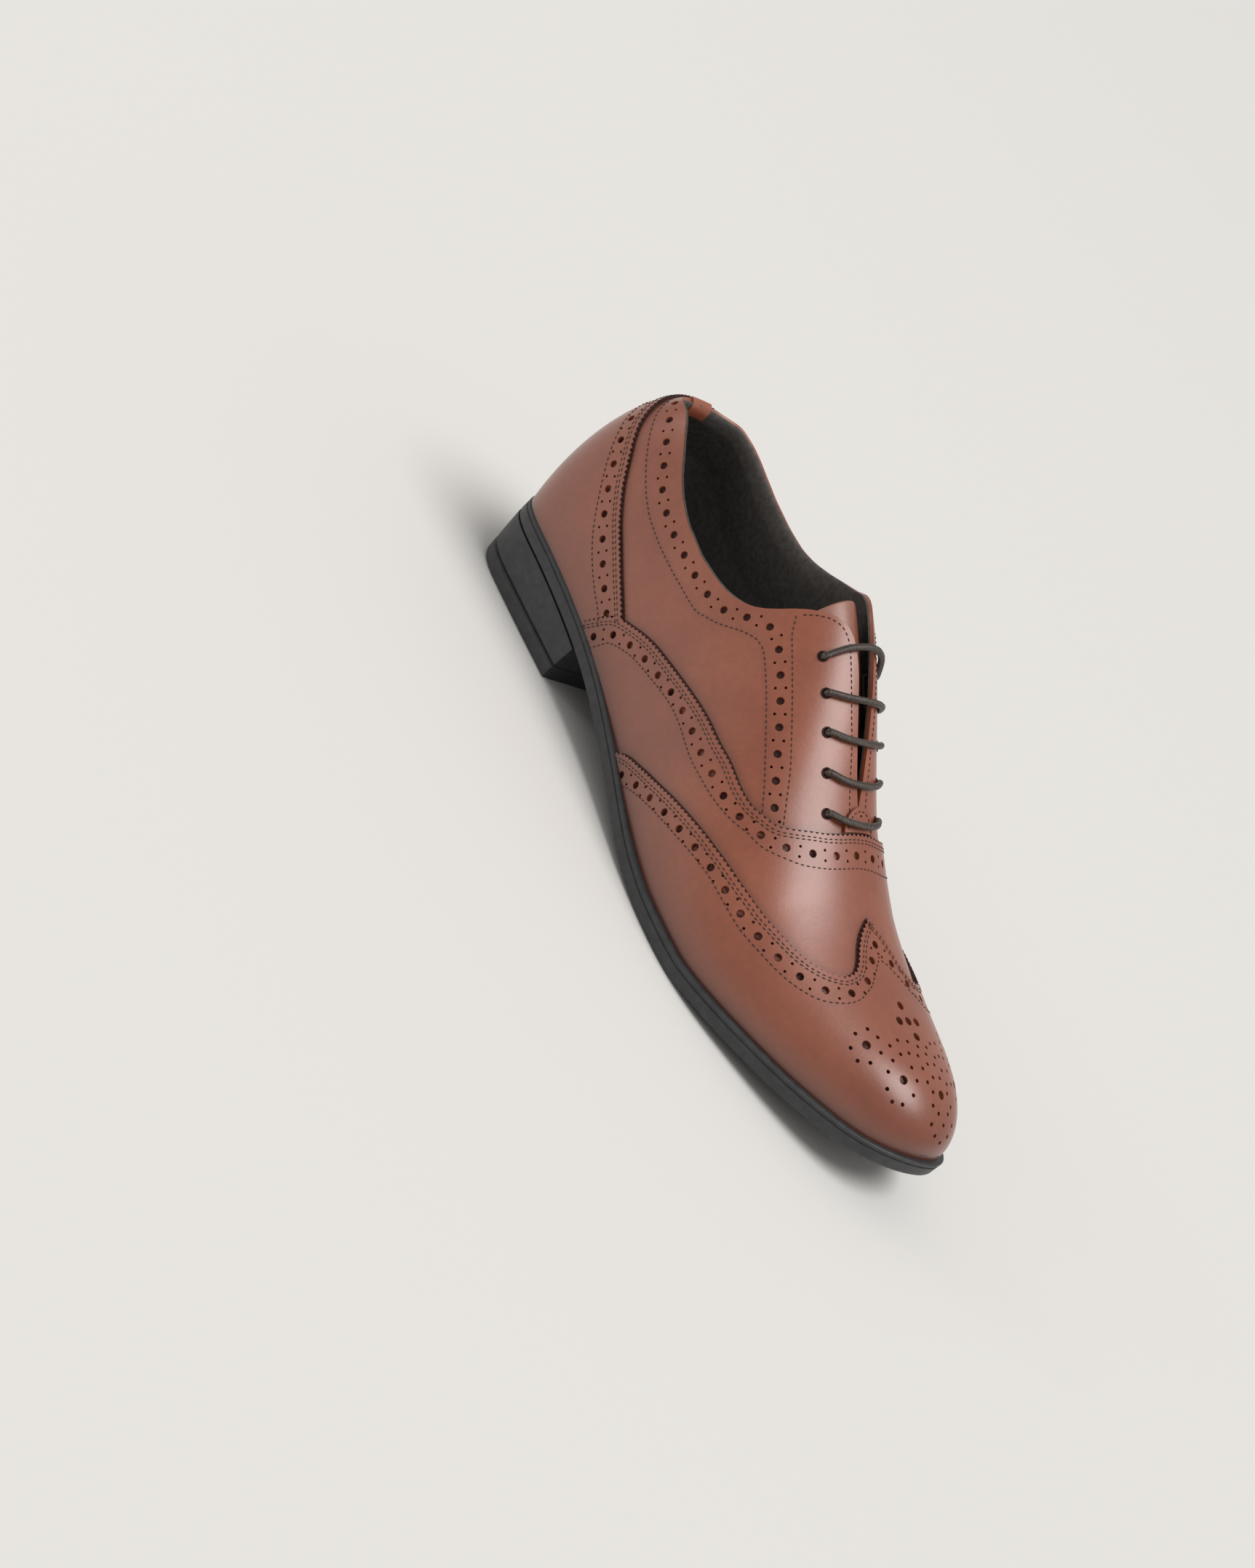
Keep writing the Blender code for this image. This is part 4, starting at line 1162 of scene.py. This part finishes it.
SOLE_PROFILE = two_sided([
    # inset, height above the sole's top face
    (0.0060, 0.0), (0.0012, 0.0), (0.0004, -0.0002), (0.0, -0.0007), (0.0, -0.0016), (0.0004, -0.0019),
    (0.0004, -0.0022), (0.0, -0.0025), (0.0, -0.0058), (0.0003, -0.0065), (0.0010, -0.0070),
    (0.0060, -0.0070),
])
LIFT_PROFILE = two_sided([
    # inset, height above the floor
    (0.0060, TOP_LIFT), (0.0012, TOP_LIFT), (0.0006, TOP_LIFT - 0.0003), (0.0, TOP_LIFT - 0.0010),
    (0.0, 0.0012), (0.0005, 0.0003), (0.0012, 0.0), (0.0060, 0.0),
])
BLOCK_PROFILE = two_sided([
    # inset, share of the way down from the seat to the top lift
    (0.0060, 0.0), (0.0002, 0.0), (0.0, 0.04), (0.0, 0.94), (0.0006, 1.0), (0.0060, 1.0),
])


def seat_height(x):
    return feather_height(x - SHIFT[0]) - SOLE_THICKNESS - GAP


def heel_bend(s, x, y, z):
    """Draws the heel in towards the floor, and rakes its breast."""
    below = np.clip((seat_height(x) - z) / HEEL_PITCH, 0, 1)
    middle = SHIFT[1] + BALL_WIDTH * COLUMN["centre"](s)
    toward = np.stack([HEEL_X + HEEL_FAN - x, middle - y], axis=-1)
    toward[..., 0] = np.where(x > HEEL_X + HEEL_FAN, 0.0, toward[..., 0])
    inwards = unit(toward) * (HEEL_TAPER * below)[..., None]
    rake = BREAST_RAKE * below * (s / breast) ** RAKE_FADE
    return np.stack([x + inwards[..., 0] - rake, y + inwards[..., 1], z], axis=-1)


breast = float(station(BREAST))
outsole = loft("outsole_rubber", RUBBER, 0.0, 1.0, SOLE_COLUMNS, SOLE_PROFILE,
               lambda x, level: feather_height(x - SHIFT[0]) + level)
dressed(outsole, "sole_rubber", "outsole", angle=30)
block = loft("heel_block_rubber", RUBBER, 0.0, breast, HEEL_COLUMNS, BLOCK_PROFILE,
             lambda x, level: seat_height(x) + (TOP_LIFT + GAP - seat_height(x)) * level, heel_bend)
dressed(block, "sole_rubber", "heel_block", angle=30)
lift = loft("top_lift_rubber", RUBBER, 0.0, breast, HEEL_COLUMNS, LIFT_PROFILE,
            lambda x, level: level + 0 * x, heel_bend)
dressed(lift, "sole_rubber", "heel_top_lift", angle=30)

# %% [markdown]
# ## The inside
#
# The collar's lining is a thin pad. Its grid starts on the top line, bulges inwards over some twenty
# millimetres and then lies flat on the leather. In front of the ankle it lies flat all the way up, because
# the facings close there. The sock covers the insole.

# %% Lining and sock
LINING_GRID = (150, 60)
PAD_THICKNESS = 0.0026
PAD_REACH = 0.024
PAD_END = 0.40
PAD_FADE = 0.10
PAD_SWELL = 4
LINING_TO = 0.998
ROW_CROWDING = 1.6
SIDE_LENGTH = 1.15
LINING_THICKNESS = 0.0006
LINING_CLEAR = 0.00005
LINING_EYELET_LEVEL = -0.002
SOCK_FROM = 0.02
SOCK_TO = 0.985
SOCK_COLUMNS = 90


def make_lining():
    def place(across, up, side):
        top = top_line(across, side)
        t = (1 - (1 - up if side < 0 else up) ** ROW_CROWDING) * top
        s = np.minimum(across, LINING_TO)
        height = INSTEP_RISE * COLUMN["rise"](s) * SIDE_LENGTH * (top - t)
        arch = np.clip(height / PAD_REACH, 0, 1)
        pad = PAD_THICKNESS * np.clip((PAD_END - share_along(s)) / PAD_FADE, 0, 1)
        pad *= np.sqrt(np.clip(arch * PAD_SWELL, 0, 1)) * (1 - arch ** 2)
        return skin(s, t if side < 0 else 2 - t, -QUARTER_THICKNESS - LINING_CLEAR - pad)[0]

    piece = piece_from(halves_mesh(*LINING_GRID, place), "collar_lining", LINING)
    eyes = [(s, g, LINING_EYELET_LEVEL, EYELET_RADIUS, EYELET_DEPTH) for s, g in EYELETS]
    thickened(piece, LINING_THICKNESS, make_punch("lining_punch", eyes))
    dressed(piece, "insole_lining")


def make_sock():
    rows = [(0.0084, 0.0026), (0.0034, 0.0026), (0.0024, 0.0022), (0.0024, 0.0004), (0.0084, 0.0004)]
    sock = loft("sock_lining", SOCK, SOCK_FROM, SOCK_TO, SOCK_COLUMNS, two_sided(rows),
                lambda x, level: feather_height(x - SHIFT[0]) + level)
    dressed(sock, "insole_lining", "insole")


make_lining()
make_sock()

# %% [markdown]
# ## Tongue and throat tab
#
# The tongue is a soft leaf under the lacing. It starts above the facings and ends under the vamp, so we
# give it the last's own curve, a little deeper than the facings and the lace.

# %% Tongue
TONGUE_GRID = (70, 50)
TONGUE_ROUNDING = 0.0006
THROAT = 0.640
TONGUE_TOP = 0.415
TONGUE_ROOT = 0.675
LACE_RADIUS = 0.00125
WALL = 0.0020
TONGUE_THICKNESS = 0.0018
tongue_edge = steady_curve([(TONGUE_TOP, 0.68), (0.45, 0.64), (THROAT, 0.70), (TONGUE_ROOT, 0.76)])


def tongue_depth(along):
    """How far inside the last the tongue's face lies: under the lace, then up to the vamp's lining."""
    rooted = np.clip((along - THROAT) / (TONGUE_ROOT - THROAT), 0, 1)
    deep = WALL + 2 * LACE_RADIUS + 4 * GAP
    return deep + (WALL + GAP - deep) * rooted * rooted * (3 - 2 * rooted)


def make_tongue():
    def place(across, up):
        along = TONGUE_TOP + (TONGUE_ROOT - TONGUE_TOP) * across
        low = tongue_edge(along)
        return skin(station(along), low + (2 - 2 * low) * up, -tongue_depth(along))[0]

    piece = piece_from(sheet_mesh(*TONGUE_GRID, place), "tongue_leaf", TONGUE_LEATHER)
    thickened(piece, TONGUE_THICKNESS)
    rounded = piece.modifiers.new("rounded edge", "BEVEL")
    rounded.width = TONGUE_ROUNDING
    rounded.segments = 2
    rounded.limit_method = "ANGLE"
    waxed_and_shaded(piece, strength=0.0)
    dressed(piece, "tongue_leather", "tongue")


make_tongue()

# %% [markdown]
# The tab is a half-moon of leather that closes the foot of the throat. Its grid is polar: one way out from
# the centre, the other round the half turn.

# %% Throat tab
TAB_GRID = (14, 36)
TAB_WAX = (0.0012, 0.5)
TAB_EDGE_POINTS = 40
TAB_RADIUS = 0.0075
TAB_SETBACK = 0.0008
TAB_THICKNESS = 0.0011
TAB_HOLE = 0.0005
TAB_HOLES = [(0.0023, 0.0023), (-0.0023, 0.0023), (0.0, 0.0048)]


def tab_place(aside, back):
    """Station and place of a spot of the tab: metres to the side of the crest and back from its edge."""
    share = VAMP_EDGE[-1][0] / LENGTH_UNITS - (TAB_SETBACK + back) / LAST_LENGTH
    s = float(station(share))
    return s, place_at_reach(s, -1 if aside < 0 else 1, abs(aside))


def tab_spots(radii, turns):
    """Stations and places of polar spots, with turns counted from one end of the tab's straight side."""
    spots = [(-radius * math.cos(turn), radius * math.sin(turn)) for radius, turn in zip(radii, turns)]
    return np.array([tab_place(aside, back) for aside, back in spots]).T


def tab_arc(radius, count):
    return tab_spots([radius] * count, np.linspace(math.pi, 0.0, count))


def make_throat_tab():
    def place(across, up):
        return skin(*tab_spots(TAB_RADIUS * across, (1 - up) * math.pi), LAYER_STEP)[0]

    piece = piece_from(sheet_mesh(*TAB_GRID, place), "throat_tab_leather", LEATHER)
    spots = [(*tab_place(aside, back), LAYER_STEP, TAB_HOLE, HOLE_DEPTH) for aside, back in TAB_HOLES]
    thickened(piece, TAB_THICKNESS, make_punch("tab_punch", spots))
    waxed_and_shaded(piece, [(tab_arc(TAB_RADIUS, TAB_EDGE_POINTS), *TAB_WAX)])
    dressed(piece, "overlay_leather", "throat_tab")
    make_hole_shade("tab_backing", spots, LAYER_STEP - TAB_THICKNESS + BACKING_LIFT)


make_throat_tab()

# %% [markdown]
# ## The back strap
#
# A short strip of the upper's leather folds over the collar at the back of the heel. Its profile is a short
# table that climbs the outside, turns over the edge and goes down the padding.

# %% Back strap
STRAP_COLUMNS = 24
STRAP_WIDTH = 0.0150
STRAP_MEASURED_AT = 0.5
STRAP_WIDEST = 0.1
STRAP_THICKNESS = 0.0006
STRAP_FOLD = [
    # metres down from the top line, out of the last, and lifted
    (0.0035, 0.0007, 0.0), (0.0018, 0.0007, 0.0), (0.0003, 0.0007, 0.0), (0.0, 0.0006, 0.0003),
    (0.0, 0.0001, 0.0006), (0.0, -0.0010, 0.0008), (0.0, -0.0022, 0.0006), (0.0003, -0.0031, 0.0002),
    (0.0012, -0.0039, 0.0), (0.0024, -0.0046, 0.0), (0.0040, -0.0051, 0.0),
]


def make_back_strap():
    top = float(TOP_OUTER(0.0))
    rise = INSTEP_RISE * SECTIONS[0][SECTION_COLUMNS.index("rise")]
    turns = np.linspace(0, STRAP_WIDEST, 60)
    reach = SHIFT[1] - last_at(turns, STRAP_MEASURED_AT)[:, 1]
    half_turn = float(np.interp(STRAP_WIDTH / 2, reach, turns))

    def place(across, up):
        rows = np.array(STRAP_FOLD)[np.rint(up * (len(STRAP_FOLD) - 1)).astype(int)]
        points = skin((2 * across - 1) * half_turn, top - rows[:, 0] / rise, rows[:, 1])[0]
        points[:, 2] += rows[:, 2]
        return points

    piece = piece_from(sheet_mesh(STRAP_COLUMNS, len(STRAP_FOLD) - 1, place), "heel_pull_strap", LEATHER)
    thickened(piece, STRAP_THICKNESS)
    waxed_and_shaded(piece, strength=0.0)
    dressed(piece, "upper_leather", "back_strap", angle=60)


make_back_strap()

# %% [markdown]
# ## Eyelets
#
# These eyelets are blind: no metal shows, only the hole with its dark, burnished rim. One small circle,
# spun round a full turn with its ends merged, makes a ring, and it is turned to face straight out of the
# leather.

# %% Rims of the eyelets
RIM_RADIUS = 0.00028
RIM_LIFT = 0.0001


def make_rims():
    bm = bmesh.new()
    for s, g in EYELETS:
        start = bmesh.ops.create_circle(bm, segments=6, radius=RIM_RADIUS)["verts"]
        move = Matrix.Translation((EYELET_RADIUS, 0, 0)) @ Matrix.Rotation(math.pi / 2, 4, "X")
        bmesh.ops.transform(bm, matrix=move, verts=start)
        edges = [edge for edge in bm.edges if edge.verts[0] in start and edge.verts[1] in start]
        before = set(bm.verts) - set(start)
        bmesh.ops.spin(bm, geom=start + edges, cent=(0, 0, 0), axis=(0, 0, 1), angle=2 * math.pi, steps=20,
                       use_merge=True)
        ring = [vert for vert in bm.verts if vert not in before]
        bmesh.ops.transform(bm, matrix=facing_out(s, g, RIM_LIFT), verts=ring)
    bmesh.ops.recalc_face_normals(bm, faces=bm.faces[:])
    dressed(piece_from(bm, "eyelet_rims", CUT_EDGE_AND_SHADE), "upper_leather", angle=80)


make_rims()

# %% [markdown]
# ## The lace
#
# One lace runs straight across each bar, down through an eyelet and inside to the next. Its route is a list
# of points, rounded into a smooth curve. Its hidden ends stop beside the top eyelets.

# %% The lace's route
LACE_BEND = 0.0022
BAR_SAG = 0.0042
BAR_SHARES = (0.2, 0.35, 0.5, 0.65, 0.8)
LACE_CLEAR = 0.0004
LACE_OVER = LACE_RADIUS + LACE_CLEAR
LACE_UNDER = -WALL - LACE_RADIUS - 2 * GAP
HIDDEN_START = (0.0075, 0.0040)
HIDDEN_RETURN = (3.7, 3, 2, 1, 0.2)
RETURN_CLEAR = 0.0050
RETURN_SPREAD = 0.0025
TAB_PASS = (0.45, 0.75)
TAB_LIFTS = (0.0016, 0.0002)
ROUTE_STEP = 0.00045
CURVE_STEPS = 16


def at_reach(s, side, reach, level):
    return Vector(skin(s, place_at_reach(s, side, reach), level)[0])


def lace_bend(eye, towards, level, turning_in):
    """A quarter turn between the eyelet's own line and a run at the given level."""
    base, out = (Vector(found) for found in skin(*eye))
    away = Vector(towards) - Vector(towards).project(out)
    away.normalize()
    bend = math.copysign(LACE_BEND, level)
    turn = [
        base + out * (level - bend * (1 - math.sin(angle))) + away * LACE_BEND * (1 - math.cos(angle))
        for angle in (0.0, math.pi / 6, math.pi / 3)
    ]
    return turn[::-1] if turning_in else turn


def bar_points(bar, start, here, there):
    """Points across one bar: it sags between its eyelets, and the lowest one is lifted over the tab."""
    points = []
    for share in BAR_SHARES:
        side, eye = (start, here) if share <= 0.5 else (-start, there)
        reach = 2 * abs(0.5 - share)
        sag = BAR_SAG * (1 - reach * reach) if bar > 0 else 0.0
        s = float(station(share_along(eye[0]) + sag / LAST_LENGTH))
        lift = float(np.interp(reach, TAB_PASS, TAB_LIFTS)) if bar == BARS - 1 else 0.0
        points.append(Vector(skin(s, 1 + side * reach * abs(eye[1] - 1), LACE_OVER + lift)[0]))
    return points


def lace_route():
    top = eyelet(0, -1)[0]
    points = [at_reach(top, -1, EYELET_TOP_REACH + past, LACE_UNDER) for past in HIDDEN_START]
    points += lace_bend(eyelet(0, -1), (0, -1, 0), LACE_UNDER, True)
    for bar in range(BARS):
        start = -1 if bar % 2 == 0 else 1
        here, there = eyelet(bar, start), eyelet(bar, -start)
        points += lace_bend(here, (0, -start, 0), LACE_OVER, False)
        points += bar_points(bar, start, here, there)
        points += lace_bend(there, (0, start, 0), LACE_OVER, True)
        if bar == BARS - 1:
            break
        follow = eyelet(bar + 1, -start)
        middle = [(a + b) / 2 for a, b in zip(there, follow)]
        points += lace_bend(there, (1, 0, 0), LACE_UNDER, False)
        points.append(Vector(skin(*middle, LACE_UNDER)[0]))
        points += lace_bend(follow, (-1, 0, 0), LACE_UNDER, True)
    points += lace_bend(eyelet(BARS - 1, 1), (0, 1, 0), LACE_UNDER, False)
    for bar in HIDDEN_RETURN:
        reach = EYELET_LOW_REACH + RETURN_CLEAR + RETURN_SPREAD * (1 - bar / (BARS - 1))
        points.append(at_reach(eyelet(bar, 1)[0], 1, reach, LACE_UNDER))
    return points


def rounded_route(points):
    """A Catmull-Rom curve through the points, walked in even steps."""
    points = np.array(points)
    ends = np.vstack([2 * points[0] - points[1], points, 2 * points[-1] - points[-2]])
    u = np.linspace(0, 1, CURVE_STEPS, endpoint=False)[:, None]
    fine = []
    for a, b, c, d in zip(ends[:-3], ends[1:-2], ends[2:-1], ends[3:]):
        square, cube = 2 * a - 5 * b + 4 * c - d, 3 * b - a - 3 * c + d
        fine.append(0.5 * (2 * b + (c - a) * u + square * u**2 + cube * u**3))
    fine = np.vstack(fine + [points[-1:]])
    distance = arc_lengths(fine)
    marks = np.linspace(0, distance[-1], int(distance[-1] / ROUTE_STEP))
    return np.stack([np.interp(marks, distance, fine[:, axis]) for axis in range(3)], axis=1), distance[-1]


lace_line, lace_length = rounded_route(lace_route())
print("The lace runs", round(lace_length * 1000), "mm, ends and all.")

# %% [markdown]
# A grid is wrapped round the route. Its UV map runs along and round the cord, so a weave drawn in UV
# follows every bend. Each ring takes its direction from the one before it, which keeps the cord from
# twisting.

# %% The lace's cord
LACE_SIDES = 12
LACE_WEAVE = 0.0016


def lace_material():
    """A waxed lace: two strands of tone cross over in UV, one to the left and one to the right."""
    made, tree, shader = new_material("waxed_lace")
    uv = tree.nodes.new("ShaderNodeUVMap")
    uv.uv_map = "UVMap"
    split = tree.nodes.new("ShaderNodeSeparateXYZ")
    tree.links.new(uv.outputs["UV"], split.inputs["Vector"])
    strands = []
    for way in (1.0, -1.0):
        turned = calculated(tree, "MULTIPLY", split.outputs["Y"], way * 2.0)
        phase = calculated(tree, "MULTIPLY", calculated(tree, "ADD", split.outputs["X"], turned), 2 * math.pi)
        strands.append(calculated(tree, "SINE", phase, 0.0))
    weave = calculated(tree, "ADD", calculated(tree, "MULTIPLY", strands[0], strands[1]), 1.0)
    weave = calculated(tree, "MULTIPLY", weave, 0.5)
    tone = ramp(tree, weave, [(0.2, (0.030, 0.022, 0.019)), (0.8, (0.115, 0.088, 0.074))])
    speckle = ramp(tree, noise(tree, 1500.0, detail=2.0), [(0.35, (0.6, 0.6, 0.6)), (0.7, (1.5, 1.45, 1.4))])
    tree.links.new(mixed(tree, 1.0, tone, speckle, "MULTIPLY"), shader.inputs["Base Color"])
    set_inputs(shader, {"Roughness": 0.50})
    bumped(tree, shader, weave, 0.6, 0.0002)
    return made


def make_lace():
    ahead = unit(np.gradient(lace_line, axis=0))
    normals = [np.array(Vector(ahead[0]).orthogonal().normalized())]
    for direction in ahead[1:]:
        normals.append(unit(normals[-1] - direction * normals[-1].dot(direction)))
    normals = np.array(normals)
    sides = np.cross(ahead, normals)
    bm = bmesh.new()
    count = len(lace_line)
    made = bmesh.ops.create_grid(bm, x_segments=count - 1, y_segments=LACE_SIDES, size=0.5)["verts"]
    layer = bm.loops.layers.uv.new("UVMap")
    flat = {vert: (vert.co.x + 0.5, vert.co.y + 0.5) for vert in made}
    for face in bm.faces:
        for loop in face.loops:
            across, up = flat[loop.vert]
            loop[layer].uv = (across * lace_length / LACE_WEAVE, up)
    for vert, (across, up) in flat.items():
        i = round(across * (count - 1))
        turn = 2 * math.pi * up
        vert.co = lace_line[i] + LACE_RADIUS * (math.cos(turn) * normals[i] + math.sin(turn) * sides[i])
    bmesh.ops.remove_doubles(bm, verts=bm.verts[:], dist=MERGE)
    bmesh.ops.holes_fill(bm, edges=[edge for edge in bm.edges if edge.is_boundary], sides=0)
    bmesh.ops.recalc_face_normals(bm, faces=bm.faces[:])
    dressed(piece_from(bm, "woven_lace", lace_material()), "lace_cord", "lace", angle=60)


make_lace()

# %% [markdown]
# ## Stitching
#
# Every edge and band is held by rows of lockstitch. A single stitch is less than two millimetres long, so
# an icosphere of twenty faces, stretched and half sunk in the leather, is enough, and those of each piece
# are one mesh. Two rows follow each gimped edge, and one closes the punched band.

# %% Rows of stitches
STITCH_PITCH = 0.0021
STITCH_HALF = (0.00078, 0.00027, 0.00022)
STITCH_LIFT = 0.00005
BACK_CLEAR = 0.002
TAB_ROW = 0.0014
TAB_ROW_POINTS = 60


def stitch_row(bm, path, level):
    (s, g), _ = resampled(path, STITCH_PITCH, STITCH_PITCH / 2)
    middles, out = skin(s, g, level + STITCH_LIFT)
    ahead = unit(np.gradient(middles, axis=0))
    for place, *axes in zip(middles, ahead, np.cross(out, ahead), out):
        turn = Matrix([axis * half for axis, half in zip(axes, STITCH_HALF)]).transposed().to_4x4()
        bmesh.ops.create_icosphere(bm, subdivisions=1, radius=1.0, matrix=Matrix.Translation(place) @ turn)
    return len(middles)


def stitches_piece(name, slot, rows):
    bm = bmesh.new()
    count = sum(stitch_row(bm, path, level) for path, level in rows)
    dressed(piece_from(bm, name, THREAD), slot, angle=80)
    print(name, "holds", count, "stitches")


def edge_rows(edge, width, inward, level):
    """The double row beside a gimped edge and the row that closes its band."""
    return [(own_side(set_off(edge, inward * gap), edge), level) for gap in (FIRST_ROW, SECOND_ROW, width)]


def over_inner(path):
    return path[0], 2 - path[1]


def off_the_back(path):
    """Drops the points past the middle of the heel's back, where both sides meet."""
    keep = path[0] > BACK_CLEAR
    return path[0][keep], path[1][keep]


counter_rows = edge_rows(counter_edge, counter_width, 1, LAYER_STEP)
counter_rows = [(off_the_back(path), level) for path, level in counter_rows]
counter_rows += [((-path[0], path[1]), level) for path, level in counter_rows]
stitches_piece("vamp_stitches", "overlay_leather", edge_rows(vamp_edge, vamp_width, -1, LAYER_STEP))
stitches_piece("cap_stitches", "overlay_leather", edge_rows(cap_edge, cap_width, -1, 2 * LAYER_STEP))
stitches_piece("counter_stitches", "overlay_leather", counter_rows)
band_rows = [(path, 0.0) for path in quarter_holes(QUARTER_ROW)]
facings = [from_rows(rows) for rows in (FACING_BACK_ROW, FACING_ROW)]
facing_rows = [(path, 0.0) for facing in facings for path in (facing, over_inner(facing))]
tab_rows = [(tuple(tab_arc(TAB_RADIUS - TAB_ROW, TAB_ROW_POINTS)), LAYER_STEP)]
stitches_piece("quarter_stitches", "upper_leather", band_rows + facing_rows + tab_rows)

# %% [markdown]
# ## Floor and light
#
# The shoe stands on a pale floor. The key light is a sun with a wide disk: its shadows are as soft as those
# of a large lamp, and it lights the far floor as brightly as the near one.

# %% Floor and lights
def studio_floor():
    made, _, shader = new_material("pale_floor")
    set_inputs(shader, {"Base Color": (0.86, 0.84, 0.81, 1.0), "Roughness": 0.85})
    bm = bmesh.new()
    bmesh.ops.create_grid(bm, x_segments=1, y_segments=1, size=40.0)
    floor = piece_from(bm, "floor", made)


def lamp(name, kind, place, aim, energy):
    data = bpy.data.lights.new(name, kind)
    data.energy = energy
    aimed(name, data, place, aim)
    return data


studio_floor()
world = bpy.data.worlds.new("studio")
bpy.context.scene.world = world
world.use_nodes = True
set_inputs(world.node_tree.nodes["Background"], {"Color": (0.93, 0.92, 0.90, 1.0), "Strength": 0.45})
lamp("key_lamp", "SUN", (1.15, 0.10, 3.1), (0.0, 0.0, 0.0), 1.68).angle = math.radians(36.0)
side_lamp = lamp("side_lamp", "AREA", (-3.0, -2.6, 1.6), (0.0, 0.0, 0.05), 9.0)
side_lamp.shape = "DISK"
side_lamp.size = 1.4
bpy.context.scene.view_settings.view_transform = "Standard"
print("Lights:", len(bpy.data.lights))
